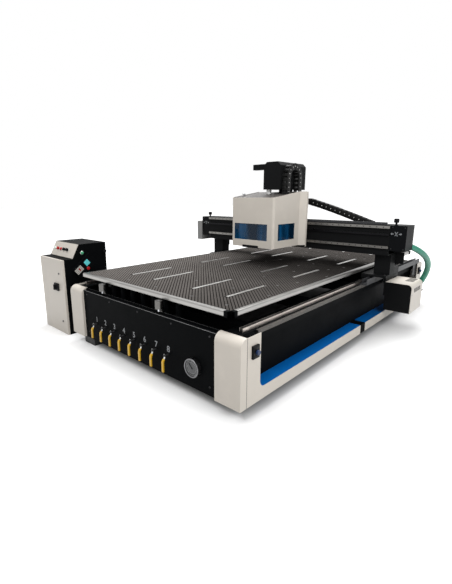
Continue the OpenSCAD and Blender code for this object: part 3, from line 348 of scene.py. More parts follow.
def block(work, low, high, edge, steps, paint=0, move=None):
    low, high = Vector(low), Vector(high)
    grow = Matrix.Translation((low + high) / 2) @ Matrix.Diagonal((*(high - low), 1.0))
    made = bmesh.ops.create_cube(work, size=1.0)["verts"]
    bmesh.ops.transform(work, verts=made, matrix=grow)
    edges = list({e for v in made for e in v.link_edges})
    made = bmesh.ops.bevel(work, geom=edges, offset=edge, segments=steps, profile=0.5,
                           affect="EDGES")["verts"]
    made = list({v for m in made for f in m.link_faces for v in f.verts})
    finish_part(work, made, paint, move)


def lathe(work, start, direction, profile, sides, paint=0):
    """profile is a list of (radius, distance along direction)."""
    direction = Vector(direction).normalized()
    turn = Vector(upward).rotation_difference(direction).to_matrix().to_4x4()
    angles = [2 * math.pi * k / sides for k in range(sides)]
    last = None
    made = []
    for radius, along in profile:
        if radius <= 0:
            ring = [work.verts.new((0, 0, along))]
        else:
            ring = [work.verts.new((radius * math.cos(a), radius * math.sin(a), along)) for a in angles]
        made += ring
        if last:
            for k in range(sides):
                n = (k + 1) % sides
                if len(last) == 1:
                    work.faces.new((last[0], ring[k], ring[n]))
                elif len(ring) == 1:
                    work.faces.new((last[k], last[n], ring[0]))
                else:
                    work.faces.new((last[k], last[n], ring[n], ring[k]))
        last = ring
    finish_part(work, made, paint, Matrix.Translation(Vector(start)) @ turn)


black_oxide = Finish("black_oxide_screw", (0.016, 0.016, 0.017), 0.4, 0.6)
black_oxide.put("Roughness", black_oxide.noise(220.0, 3.0) * 0.3 + 0.28)
black_oxide.tone(black_oxide.noise(40.0, 3.0), 0.7, 2.0)


def rail_caps(work):
    first, pitch, count, rail_top = 140, 60, 56, 560.6
    outline = [(0, 0), (6.2, 0), (6.2, 0.5), (5.6, 0.8), (0, 0.8)]
    for side in (-1, 1):
        for k in range(count):
            lathe(work, (rail_line * side, first + pitch * k, rail_top), upward, outline, 16)


shape("rail_caps", "bed", black_oxide, rail_caps)


# A dark shadow gap shows where each corner cover meets its skirt. A thin black strip let into
# the joint of the two sheets paints that shadow.
def cover_seams(work):
    face, half_deep, half_wide = 999.2, 1.3, 1.6
    for side in (-1, 1):
        for y in (60, 3540):
            block(work, (face * side - half_deep, y - half_wide, 91),
                  (face * side + half_deep, y + half_wide, 533), 0.2, 1)


shape("cover_seams", "bed", black_oxide, cover_seams)


# The table is eight phenolic boards let flush into an aluminium edge. A diagonal grid of
# air grooves is milled into each board, painted near black as the shade in them, and the
# raised diamonds are polished by sheets. A painted reflection pales the boards towards the
# left front, and a painted shadow of the bridge darkens them on the right before it.
groove_pitch = 0.030
table_top = 656
board = Finish("grooved_board", (0.088, 0.081, 0.076), 0.45, Specular_IOR_Level=0.0)
board_x, board_y, board_z = (board.axis(letter) for letter in "XYZ")
first_way = (board_x + board_y).math("PINGPONG", groove_pitch / 2)
second_way = (board_x - board_y).math("PINGPONG", groove_pitch / 2)
raised = board.ramp(first_way.math("MINIMUM", second_way), 0.0034, 0.0050)
# The grooves are painted near black, as the shade in them.
groove = (1.0 - raised) * (board_z > 0.6545)
wear = board.noise(3.2, 5.0)
speck = board.noise(420.0, 3.0)
wear_and_painted_light = board.blend(wear, board.shade(0.72), board.shade(1.45))
# A painted reflection, paler towards the left front.
painted_reflection = board.ramp(board_x * 0.8 + board_y * 0.25, 0.35, -1.0)
wear_and_painted_light = board.blend(painted_reflection * 0.55, wear_and_painted_light, board.shade(3.2))
# A painted shadow of the bridge, darker on the right before it.
bridge_shadow_band = board.ramp(board_y, -1.0, -0.2) * board.ramp(board_y, 0.62, 0.36)
bridge_shadow = bridge_shadow_band * board.ramp(board_x, -0.5, 0.8)
wear_and_painted_light = board.blend(bridge_shadow * 0.85, wear_and_painted_light, board.shade(0.12))
dusty = board.blend(board.ramp(speck, 0.55, 0.75) * 0.3, wear_and_painted_light, (0.22, 0.20, 0.18, 1.0))
board.put("Base Color", board.blend(groove, dusty, (0.0065, 0.0060, 0.0058, 1.0)))
board.put("Roughness", groove * 0.35 + wear * 0.16 + speck * 0.1 + 0.26)
board.bump(raised + speck * 0.05, 0.7, 0.002)
dress(board, "vacuum_boards")


# The table edge and the locating cylinders are clear anodised extrusion, drawn along their
# length. The cylinders are duller than the edge.
def drawn_metal(name, along, color, roughness=0.3):
    finish = Finish(name, color, roughness, 1.0)
    stretch = [700.0, 700.0, 700.0]
    stretch[along] = 4.0
    lines = finish.noise(1.0, 2.0, tuple(stretch))
    haze = finish.noise(6.0, 4.0)
    finish.tone(haze, 0.82, 1.12)
    finish.put("Roughness", lines * 0.24 + haze * 0.12 + (roughness - 0.14))
    finish.bump(lines, 0.12, 0.0004)
    return finish


edge_metal = drawn_metal("edge_along_x", 0, (0.30, 0.295, 0.285))
dress(edge_metal, "table_edges")
locator_metal = drawn_metal("locator_metal", 2, (0.12, 0.117, 0.112))
dress(locator_metal, "locating_cylinders")


# The clamping tracks are slotted aluminium strips, flush with the boards. Their tops are
# painted dark away from the slots as shade, so only the lips beside the slots stay bright.
# A dark disc at the front end of each is the painted shade of the round pocket that lets a
# bolt head in, and countersunk screws hold the boards down between the tracks.
track_lines = (-485, -185, 275, 610)
track_fronts = (328, 1179.5, 2031, 2882.5)
unshaded_half = 0.0085
track_finish = drawn_metal("track_metal", 1, (0.86, 0.85, 0.83))
across_track = track_finish.axis("X")
near_slots = [(across_track - spot(x, 0, 0).x).math("ABSOLUTE") < unshaded_half for x in track_lines]
unshaded_lips = sum(near_slots[1:], near_slots[0])
handled = track_finish.noise(6.0, 4.0)
bright_lip = track_finish.blend(handled, track_finish.shade(0.85), track_finish.shade(1.12))
# Away from the slots the track tops are painted dark as shade.
track_finish.put("Base Color", track_finish.blend(unshaded_lips, track_finish.shade(0.10), bright_lip))
dress(track_finish, "t_slot_tracks")


def moulded(name, color, roughness, grain=0.25, gloss=0.22):
    finish = Finish(name, color, roughness, Specular_IOR_Level=gloss)
    spark = finish.noise(1500.0, 2.0)
    flow = finish.noise(12.0, 3.0)
    finish.tone(flow, 0.85, 1.2)
    finish.put("Roughness", spark * 0.18 + flow * 0.1 + (roughness - 0.14))
    finish.bump(spark, grain, 0.0005)
    return finish


def bolt_pockets(work):
    outline = [(0, 0.1), (10.5, 0.1), (10.5, 0.5), (12.5, 0.5), (12.5, -0.5)]
    for x in track_lines:
        for y in track_fronts:
            lathe(work, (x, y - 13, table_top - 0.1), upward, outline, 24)


def table_screws(work):
    outline = [(9.5, -0.4), (9.5, 0.5), (8.6, 0.9), (5.0, 0.9), (4.6, -0.3), (0, -0.3)]
    beside_track, half_table = 30, 850
    for row_x in (-640, -320, 30, 420, 740):
        for y in track_fronts:
            for dx, dy in ((0, -170), (66, 236), (-58, 560)):
                x = row_x + dx
                if min(abs(x - line) for line in track_lines) > beside_track and abs(x) < half_table:
                    lathe(work, (x, y + dy * 0.9, table_top - 0.2), upward, outline, 20)


# Dark discs and plates in holes and openings are painted shade, standing in for their depth.
painted_hole_shade = moulded("painted_hole_shade", (0.004, 0.004, 0.004), 0.7)
shape("bolt_pockets", "bed", painted_hole_shade, bolt_pockets)
screw_grey = ground_steel("table_screw_steel", 2, (0.10, 0.10, 0.10))
shape("table_screws", "bed", screw_grey, table_screws)


# The right corners of the table edge are closed by black caps. Each is an angle round the
# corner, held by one screw from the end of the table.
def corner_caps(work):
    low, high, right = 617.2, 657, 871
    for y, out in ((67, 1), (3533, -1)):
        for left, deep in ((809.6, 30.6), (839.4, 60.6)):
            near, far = sorted((y - out, y + out * deep))
            block(work, (left, near, low), (right, far, high), 1.2, 2)
        lathe(work, (838, y - out * 0.6, 637), (0, -out, 0),
              [(6, -1), (6, 1.4), (5, 2), (3, 2), (3, 0.6), (0, 0.6)], 20)


shape("corner_caps", "bed", black_coat, corner_caps)


# The front panel is a folded sheet, with a painted highlight along the crease at its top and a
# fainter one along the rear edge of its fold. Zone numbers are screen printed in pale grey above
# each valve, and dark screws hold it to the posts.
forward = (0, -1, 0)
panel_face = 20
valve_lines = [-599 + 134.5 * k for k in range(8)]
print_grey = Finish("print_grey", (0.22, 0.23, 0.24), 0.6)
print_wear = print_grey.noise(120.0, 4.0)
print_grey.tone(print_wear, 0.6, 1.2)
print_grey.put("Roughness", print_wear * 0.2 + 0.5)
for number, x in enumerate(valve_lines, 1):
    figure = bpy.data.curves.new(f"zone_number_{number}", "FONT")
    figure.body = str(number)
    figure.align_x = "CENTER"
    figure.size = 0.062
    figure.extrude = 0.0003
    figure.offset = 0.0012
    figure.materials.append(print_grey.material)
    zone = bpy.data.objects.new(f"zone_number_{number}", figure)
    zone.location = spot(x + 2, panel_face - 0.4, 273)
    zone.rotation_euler = (math.pi / 2, 0, 0)
    scene.collection.objects.link(zone)
    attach(zone, "bed")


def dome_head(work, where, direction, radius, height):
    """A domed screw head with a round socket."""
    outline = [(0, -0.4), (radius, -0.4), (radius, height * 0.35), (radius * 0.86, height * 0.75),
               (radius * 0.55, height * 0.96), (radius * 0.42, height), (radius * 0.40, height * 0.3),
               (0, height * 0.3)]
    lathe(work, where, direction, outline, 20)


def panel_screws(work):
    top_row, bottom_row = 488, 150
    for x in (-740, -380, 0, 380, 740):
        dome_head(work, (x, panel_face + 0.2, top_row), forward, 7, 4)
    for x in (-740, 740):
        dome_head(work, (x, panel_face + 0.2, bottom_row), forward, 7, 4)


def panel_creases(work):
    half = 792
    block(work, (-half, 19.3, 518.6), (half, 20.4, 521.4), 0.5, 1, 0)
    block(work, (-half, 49.3, 533.4), (half, 50.6, 535.4), 0.4, 1, 1)


shape("panel_screws", "bed", black_oxide, panel_screws)
# The two thin strips along the fold are painted highlights on its edges.
crease_highlight = powder_coat("crease_highlight_coat", (0.20, 0.20, 0.20), 0.4, 0.1, 0.5)
rear_crease_highlight = powder_coat("rear_crease_highlight_coat", (0.05, 0.05, 0.05), 0.4, 0.1, 0.5)
shape("panel_creases", "bed", [crease_highlight, rear_crease_highlight], panel_creases)


# Each zone valve has a plated lever: a stem nut, a cranked flat strip and a dipped
# yellow vinyl grip that hangs down when the zone is open.
yellow_vinyl = Finish("yellow_vinyl", (0.62, 0.36, 0.010), 0.38, Coat_Weight=0.2, Coat_Roughness=0.3)
grime = yellow_vinyl.ramp(yellow_vinyl.noise(45.0, 5.0), 0.5, 0.8)
yellow_vinyl.tone(grime * 0.5, 1.0, 0.55)
yellow_vinyl.put("Roughness", grime * 0.2 + 0.34)
yellow_vinyl.bump(yellow_vinyl.noise(160.0, 2.0), 0.15, 0.001)
plated = ground_steel("plated_lever", 2, (0.62, 0.62, 0.60))
valve_z = 255
strip_bend = [(-14, 11), (-14, -12), (-15, -17), (-19, -23), (-26, -30), (-30, -36), (-31, -44), (-31, -60)]
grip_bend = [(-20.5, -25), (-27.5, -32), (-31.0, -39), (-32.0, -48), (-32.2, -60), (-32.2, -90),
             (-32.0, -115)]


def strip(work, route, width, thick):
    """A flat bar bent along a route of (y, z) points, centred on X."""
    last = None
    for k, (y, z) in enumerate(route):
        back = Vector(route[max(k - 1, 0)])
        fore = Vector(route[min(k + 1, len(route) - 1)])
        run = (fore - back).normalized()
        side = Vector((-run.y, run.x)) * thick / 2
        row = [work.verts.new((sx * width / 2, y + s * side.x, z + s * side.y))
               for sx, s in ((-1, -1), (1, -1), (1, 1), (-1, 1))]
        if last:
            for a in range(4):
                work.faces.new((last[a], last[(a + 1) % 4], row[(a + 1) % 4], row[a]))
        else:
            work.faces.new(row)
        last = row
    work.faces.new(last)


def to_valve(work, x):
    bmesh.ops.translate(work, vec=Vector((x, 0, valve_z)), verts=work.verts)


for number, x in enumerate(valve_lines, 1):
    def lever(work):
        lathe(work, (0, 40, 0), forward, [(0, 0), (6, 0), (6, 58), (5, 60), (0, 60)], 20, 1)
        nut = [(0, 0), (8.6, 0), (9.6, 1), (9.6, 5.4), (8.6, 6.4), (0, 6.4)]
        lathe(work, (0, -14, 0), forward, nut, 6, 1)
        strip(work, strip_bend, 14, 3.2)
        to_valve(work, x)

    def grip(work):
        strip(work, grip_bend, 17.5, 9.5)
        sharp = [e for e in work.edges if len(e.link_faces) == 2 and e.calc_face_angle(0) > 0.9]
        bmesh.ops.bevel(work, geom=sharp, offset=3.6, segments=4, profile=0.5, affect="EDGES")
        to_valve(work, x)

    shape(f"valve_lever_{number}", f"valve_{number}", [plated, black_oxide], lever,
          (f"valve_handle_{number}",))
    shape(f"valve_grip_{number}", f"valve_{number}", yellow_vinyl, grip)


# The vacuum gauge has a plated bezel, a grey dial with a paler middle and a ring of ticks,
# and a thin dark pointer.
gauge_x, gauge_z = 602, 245
dial_grey = Finish("dial_grey", (0.050, 0.052, 0.054), 0.45)
dial_grey.tone(dial_grey.noise(70.0, 3.0), 0.85, 1.1)
dial_grey.put("Roughness", dial_grey.noise(200.0, 2.0) * 0.2 + 0.4)
dial_ink = moulded("dial_ink", (0.36, 0.36, 0.36), 0.5)
dial_middle = moulded("dial_middle", (0.105, 0.107, 0.110), 0.4)
bezel_metal = ground_steel("bezel_metal", 2, (0.15, 0.15, 0.155))
pointer_dark = moulded("pointer_dark", (0.010, 0.010, 0.011), 0.4)
dress(bezel_metal, "vacuum_gauge")
dress(pointer_dark, "gauge_needle")


def gauge_dial(work):
    dial_r, middle_r, ring_wide = 55, 33, 1.6
    lathe(work, (gauge_x, -2.4, gauge_z), forward, [(0, 0), (dial_r, 0), (dial_r, 0.6), (0, 0.6)], 64, 0)
    lathe(work, (gauge_x, -2.6, gauge_z), forward, [(0, 0), (middle_r, 0), (middle_r, 0.5), (0, 0.5)], 64, 2)
    for outer in (53.5, 37.5):
        inner = outer - ring_wide
        lathe(work, (gauge_x, -3.0, gauge_z), forward, [(outer, 0), (outer, 0.5), (inner, 0.5), (inner, 0)],
              64, 1)
    for k in range(31):
        inner, half = (42, 1.3) if k % 5 == 0 else (47, 0.7)
        turn = (Matrix.Translation((gauge_x, -3.2, gauge_z))
                @ Matrix.Rotation(math.radians(-135 + 9 * k), 4, "Y"))
        block(work, (-half, -0.4, inner), (half, 0.2, 52), 0.1, 1, 1, turn)


def gauge_bezel(work):
    outline = [(63.2, 0), (63.6, 4), (63.6, 26), (64.6, 27), (64.8, 31), (63, 33.2), (59, 33.6),
               (55.6, 31.5), (55.2, 23)]
    lathe(work, (gauge_x, panel_face, gauge_z), forward, outline, 72)


shape("gauge_dial", "bed", [dial_grey, dial_ink, dial_middle], gauge_dial)
shape("gauge_bezel", "bed", bezel_metal, gauge_bezel)


# The limit switches sit in black moulded boxes on the skirt. A dark blue mushroom button
# stands in the square opening of a lid, which two screws hold.
rightward = (1, 0, 0)
switch_lines = (("front", 130), ("rear", 3470))
switch_z = 434
black_plastic = moulded("black_plastic", (0.006, 0.006, 0.007), 0.45, 0.2, 0.08)
navy_plastic = moulded("navy_plastic", (0.004, 0.020, 0.075), 0.32, 0.1, 0.3)
dress(black_plastic, "switch_boxes")
dress(navy_plastic, "switch_button_front", "switch_button_rear")


def switch_lids(work):
    back, face, half, bar = 1013.4, 1015.4, 28, 11
    for _, y in switch_lines:
        for z in (398, 451):
            block(work, (back, y - half, z), (face, y + half, z + 19), 1, 2)
        for edge in (y - half, y + half - bar):
            block(work, (back, edge, 415), (face, edge + bar, 453), 1, 2)
        for dy, dz in ((-23, 31), (23, -31)):
            dome_head(work, (face - 0.2, y + dy, switch_z + dz), rightward, 3, 1.8)


shape("switch_lids", "bed", black_plastic, switch_lids)
for side, y in switch_lines:
    def button_cap(work):
        outline = [(13.6, 0), (15.4, 1.2), (15.6, 9), (14, 12), (10, 13.6), (5, 14.1), (0, 14.2)]
        lathe(work, (1020, y, switch_z), rightward, outline, 40)

    shape(f"switch_cap_{side}", f"button_{side}", navy_plastic, button_cap)


# The long cable chain lies in a folded trough of grey coated sheet on the right side beam.
# The trough stands on the beam's top by a flange along its inner side.
grey_coat = powder_coat("grey_coat", (0.042, 0.043, 0.046), 0.5, 0.2, 0.25)
dress(grey_coat, "y_chain_tray")


# The beam carries a flat cable shelf on top and an open trough behind, on four short arms.
# The trough is folded sheet, and the lower run of the cross chain lies in it.
def chain_trough(work):
    left, right, sheet, lip = -150, 1062, 3, 23
    shelf, shelf_front, shelf_back = 1072, 2000, 2060
    block(work, (left, shelf_front, shelf), (right, shelf_back, shelf + sheet), 0.6, 1)
    block(work, (left, shelf_front, shelf + sheet), (right, shelf_front + sheet, shelf + lip), 0.6, 1)
    floor, front, back = 942.7, 2187, 2259
    block(work, (left, front, floor), (right, back, floor + sheet), 0.6, 1)
    for wall in (front, back - sheet):
        block(work, (left, wall, floor + sheet), (right, wall + sheet, floor + lip), 0.6, 1)
    for arm in (-120, 280, 660, 900):
        block(work, (arm, 2163.2, floor), (arm + 40, front, floor + lip), 0.8, 1)


shape("chain_trough", "gantry", grey_coat, chain_trough, ("beam_tray",))


# The cabinet is black sheet with an off-white door, hung on the left. Two quarter-turn
# locks and the rotary main switch stand on the door, and its folded edges are dark.
door_coat = cream_sheet("door_coat")
door_coat.over(door_coat.axis("Y") < spot(0, 21.8, 0).y, near_black)
dress(door_coat, "cabinet_door")
dress(black_plastic, "main_switch_knob")


def door_locks(work):
    lock_x = -1258
    barrel = [(9.5, -0.2), (9.5, 2), (8.4, 5.8), (4.4, 6.2), (4.0, 4.5), (0, 4.5)]
    for z in (124, 600):
        lathe(work, (lock_x, 22, z), forward, barrel, 28, 0)
        # The dark block in each barrel is the painted shade of its key slot.
        block(work, (lock_x - 1, 16.2, z - 3.4), (lock_x + 1, 18, z + 3.4), 0.2, 1, 1)


def switch_plate(work):
    x, z, half_wide, half_high = -1317, 465, 46, 36
    block(work, (x - half_wide, 9.4, z - half_high), (x + half_wide, 12.2, z + half_high), 3, 2, 0)
    lathe(work, (x, 11.6, z), forward, [(34, 0), (34, 0.8), (32, 1.4), (30, 1.4), (30, 0.2)], 48, 0)
    for dx, dz in ((-38, 28), (38, 28), (-38, -28), (38, -28)):
        dome_head(work, (x + dx, 9.6, z + dz), forward, 3.4, 2)


shape("door_locks", "door", [screw_grey, painted_hole_shade], door_locks)
shape("switch_plate", "door", black_plastic, switch_plate)


# The sloped control panel carries a pale pilot lamp, a red stop button, a red lamp and two
# black selectors in plated rings, and zinc screws at its corners.
# slope() gives a point on the panel: across in X, up the slope, and out from its face.
slope_up = Vector((0, 73, 135)).normalized()
slope_out = Vector((0, -135, 73)).normalized()


def slope(x, up, out):
    return Vector((x, 165.5, 805.5)) + slope_up * up + slope_out * out


stop_x = -1516
selector_lines = (("left", -1389), ("right", -1323))
red_lens = moulded("red_lens", (0.36, 0.010, 0.010), 0.26, 0.08)
dress(cream_coat, "control_panel")
dress(black_plastic, "selector_left", "selector_right")
dress(red_lens, "stop_button")
lamp_lens = Finish("lamp_lens", (0.55, 0.66, 0.58), 0.22, Coat_Weight=0.5)
lamp_rings = lamp_lens.noise(30.0, 2.0)
lamp_lens.put("Base Color", lamp_lens.blend(lamp_rings, lamp_lens.shade(0.8), (0.75, 0.85, 0.80, 1.0)))
lamp_lens.put("Roughness", lamp_rings * 0.15 + 0.15)
zinc = Finish("zinc_screw", (0.40, 0.40, 0.41), 0.34, 1.0)
zinc.tone(zinc.noise(90.0, 3.0), 0.7, 1.15)
zinc.put("Roughness", zinc.noise(300.0, 2.0) * 0.3 + 0.22)


def ring(work, x):
    outline = [(13, 0), (19.5, 0), (19.5, 2.2), (18, 3.6), (15.2, 3.6), (15.2, 0)]
    lathe(work, slope(x, 0, 2.8), slope_out, outline, 36, 0)


def panel_lamps(work):
    lens_outline = [(15.4, -8), (15.4, 0.6), (13.5, 3.2), (9, 4.9), (0, 5.8)]
    for x, paint in ((-1592, 1), (-1463, 2)):
        ring(work, x)
        lathe(work, slope(x, 0, 11.6), slope_out, lens_outline, 36, paint)


def panel_rings(work):
    ring(work, stop_x)
    for _, x in selector_lines:
        ring(work, x)


def slope_screws(work):
    for x in (-1630, -1186):
        for up in (-64, 64):
            dome_head(work, slope(x, up, 3), slope_out, 5, 3)


shape("panel_lamps", "bed", [plated, lamp_lens, red_lens], panel_lamps)
shape("panel_rings", "bed", plated, panel_rings)
shape("panel_screws_slope", "bed", zinc, slope_screws)
for side, x in selector_lines:
    def selector_grip(work):
        turn = Matrix.Translation(slope(x, 0, 20.5)) @ Matrix((
            (1, slope_up.x, slope_out.x, 0), (0, slope_up.y, slope_out.y, 0),
            (0, slope_up.z, slope_out.z, 0), (0, 0, 0, 1)))
        block(work, (-5, -15, -4), (5, 15, 9), 2.4, 3, 0, turn)
        block(work, (-0.9, 4, 8.4), (0.9, 14.5, 9.5), 0.2, 1, 1, turn)

    shape(f"selector_grip_{side}", f"{side}_selector", [black_plastic, print_grey], selector_grip)


def stop_head(work):
    outline = [(15.2, 0), (16.4, 2), (16.4, 5), (14, 8.4), (8, 9.9), (0, 10.4)]
    lathe(work, slope(stop_x, 0, 16), slope_out, outline, 40)


shape("stop_head", "stop", red_lens, stop_head)


# The hand pendant hangs tilted on the cabinet's side: a moulded case with a cyan display,
# a membrane keypad with two red keys, and a red button beside the display.
# Its pieces are drawn flat and turned into place: along the case, up it, and out from it.
cabinet_side = -1170
pendant_y, pendant_z = 235, 665
tilt = math.radians(40)
pendant_turn = Matrix.Translation((cabinet_side, pendant_y, pendant_z)) @ Matrix((
    (0, 0, 1, 0), (math.cos(tilt), -math.sin(tilt), 0, 0), (math.sin(tilt), math.cos(tilt), 0, 0),
    (0, 0, 0, 1)))
display_cyan = Finish("display_cyan", (0.10, 0.62, 0.64), 0.18, Coat_Weight=0.6)
scan = (display_cyan.axis("Z") + display_cyan.axis("Y") * 0.84).math("PINGPONG", 0.004)
display_cyan.tone(display_cyan.ramp(scan, 0.0022, 0.0032) * 0.3, 1.0, 0.5)
display_cyan.put("Roughness", display_cyan.noise(50.0, 2.0) * 0.15 + 0.12)
key_white = moulded("key_white", (0.52, 0.50, 0.46), 0.45, 0.1)
dress(black_coat, "pendant")
dress(red_lens, "pendant_stop_button")


def on_pendant(along, up, out):
    return Vector((cabinet_side + out, pendant_y + along * math.cos(tilt) - up * math.sin(tilt),
                   pendant_z + along * math.sin(tilt) + up * math.cos(tilt)))


def display(work):
    block(work, (2, -20, 33.4), (63, 42, 36), 2, 2, 0, pendant_turn)
    block(work, (8, -15, 35.6), (57, 37, 36.6), 0.6, 1, 1, pendant_turn)


def keypad(work):
    block(work, (-114, -14, 33.4), (-30, 48, 35), 2, 2, 0, pendant_turn)
    key_wide, key_high = 10.6, 11.6
    for column in range(6):
        for row in range(4):
            u, v = -111 + 13.4 * column, -11 + 14.6 * row
            paint = 2 if column == 3 and row in (1, 2) else 1
            block(work, (u, v, 34.6), (u + key_wide, v + key_high, 37.2), 1.6, 2, paint, pendant_turn)


def pendant_ring(work):
    outline = [(16, 0), (18, 0), (18, 2.4), (17, 3.4), (16, 3.4)]
    lathe(work, on_pendant(1, -35, 33.6), rightward, outline, 36)


def pendant_cap(work):
    outline = [(15, 0), (16, 1.6), (16, 6), (13.5, 8.6), (7, 10), (0, 10.4)]
    lathe(work, on_pendant(1, -35, 41), rightward, outline, 36)


shape("pendant_display", "bed", [black_plastic, display_cyan], display)
shape("pendant_keypad", "bed", [black_plastic, key_white, red_lens], keypad)
shape("pendant_ring", "bed", black_plastic, pendant_ring)
shape("pendant_cap", "pendant_stop", red_lens, pendant_cap)


# The cabinet's side also has a small green lamp in a plated ring above the pendant, and a
# black thumb knob near its rear edge.
green_lens = moulded("green_lens", (0.06, 0.30, 0.16), 0.25, 0.08)


def side_fittings(work):
    lamp_y, lamp_z = 226, 789
    lathe(work, (cabinet_side, lamp_y, lamp_z), rightward, [(18, 0), (18, 3), (16, 5), (14.6, 5)], 32, 0)
    lathe(work, (cabinet_side + 4.4, lamp_y, lamp_z), rightward,
          [(14.6, 0), (14.4, 6), (11, 9), (0, 10.4)], 32, 1)
    lathe(work, (cabinet_side, 470, 782), rightward,
          [(14, 0), (14, 6), (17, 8), (17, 14), (15, 16), (0, 16)], 10, 2)


shape("side_fittings", "bed", [plated, green_lens, black_plastic], side_fittings)


# The bridge is a black box beam. Its end blocks carry a pale axis mark between two arrows,
# and each has a clamping knob on a post. The electrical box on the left end is grey.
gantry_coat = powder_coat("gantry_coat", (0.0085, 0.0088, 0.0092), 0.46, 0.2, 0.03)
dress(gantry_coat, "gantry_beam", "gantry_legs", "y_carriages", "cover_frames", "z_housing")
end_coat = powder_coat("end_coat", (0.0044, 0.0048, 0.0056), 0.46, 0.2, 0.04)
end_coat.over(end_coat.axis("X") < spot(-1242.1, 0, 0).x, (0.27, 0.27, 0.265, 1.0))
dress(end_coat, "beam_end_blocks")


def axis_marks(work):
    mark_y, mark_z, thick = 1962.4, 998, 0.7
    for middle in (1156, -1173):
        def stroke(points):
            face = work.faces.new([work.verts.new((middle + x, mark_y, mark_z + z)) for x, z in points])
            grown = bmesh.ops.extrude_face_region(work, geom=[face])["geom"]
            corners = [part for part in grown if isinstance(part, bmesh.types.BMVert)]
            bmesh.ops.translate(work, vec=(0, thick, 0), verts=corners)

        stroke([(-15, 18), (-7, 18), (15, -18), (7, -18)])
        stroke([(7, 18), (15, 18), (-7, -18), (-15, -18)])
        for way in (-1, 1):
            stroke([(way * 22, 4), (way * 36, 4), (way * 36, 11), (way * 48, 0), (way * 36, -11),
                    (way * 36, -4), (way * 22, -4)])


def beam_knobs(work):
    sides, lobes, grip_r, lobe = 70, 7, 20.4, 1.7
    angles = [2 * math.pi * k / sides for k in range(sides)]
    for side in (-1, 1):
        x, y = 1137 * side, 2001
        lathe(work, (x, y, 1072), upward, [(15, 0), (15, 3), (9, 5), (8.6, 24)], 24)
        last = None
        for z, grow in ((1095, 0.80), (1099, 1.0), (1122, 1.0), (1128, 0.9), (1131, 0.55)):
            row = []
            for angle in angles:
                radius = (grip_r + lobe * math.cos(lobes * angle)) * grow
                row.append(work.verts.new((x + radius * math.cos(angle), y + radius * math.sin(angle), z)))
            if last:
                for k in range(sides):
                    n = (k + 1) % sides
                    work.faces.new((last[k], last[n], row[n], row[k]))
            else:
                work.faces.new(row)
            last = row
        work.faces.new(last)


shape("axis_marks", "gantry", print_grey, axis_marks, flat=True)
shape("beam_knobs", "gantry", black_plastic, beam_knobs)


# Dark screws hold the rails and the end blocks to the beam, and the plates of the carriages
# below to their slides. The rail screws stand in a row at 60 mm on each rail.
def beam_screws(work):
    outline = [(5.6, -0.4), (5.6, 0.3), (5.0, 0.5), (0, 0.5)]
    for z in (875, 1055):
        for k in range(36):
            lathe(work, (-1050 + 60 * k, 1941.2, z), forward, outline, 14)
    for side in (-1, 1):
        for x in (1122, 1224):
            for z in (864, 1054):
                dome_head(work, (x * side, 1963.2, z), forward, 6, 4)
        for y in (1985, 2225):
            for x in (900, 985, 1088):
                dome_head(work, (x * side, y, 611.8), upward, 9, 7)


shape("beam_screws", "gantry", black_oxide, beam_screws)


# Each motor cover is held by zinc screws, and has slanting vents in its side and four
# louvres in its top. Dark plates in the vents and louvres are the painted shade inside them.
def cover_screws(work):
    for side in (-1, 1):
        for y in (2270, 2592):
            for z in (240, 400):
                dome_head(work, (1262 * side, y, z), (side, 0, 0), 5.5, 3.2)
            dome_head(work, (1060 * side, y, 500), upward, 5.5, 3.2)


def vent_screens(work):
    lean = Matrix.Rotation(math.radians(25), 4, "X")
    for side in (-1, 1):
        for k in range(9):
            turn = Matrix.Translation((1260.4 * side, 2433.5 + 24 * (k - 4), 434)) @ lean
            block(work, (-2, -6.8, -23), (2, 6.8, 23), 0.4, 1, 0, turn)


def cover_louvres(work):
    louvre_x, half, wide = 1184, 38, 32
    for side in (-1, 1):
        for k in range(4):
            y = 2418 + 48 * k
            block(work, (louvre_x * side - half, y, 499.4), (louvre_x * side + half, y + wide, 500.4), 0.3, 1)


shape("cover_screws", "gantry", zinc, cover_screws)
shape("vent_screens", "gantry", painted_hole_shade, vent_screens)
shape("cover_louvres", "gantry", painted_hole_shade, cover_louvres)


# The cable chains are black moulded links with pale snap-in pins. The upper run hangs from
# the carriage to the bend, which rolls at half speed, and the lower run lies in the trough:
# one strand fixed there, and one that goes with the bend.
chain_black = moulded("chain_black", (0.006, 0.006, 0.006), 0.42, 0.2, 0.12)
pin_white = moulded("pin_white", (0.50, 0.50, 0.48), 0.4, 0.1)


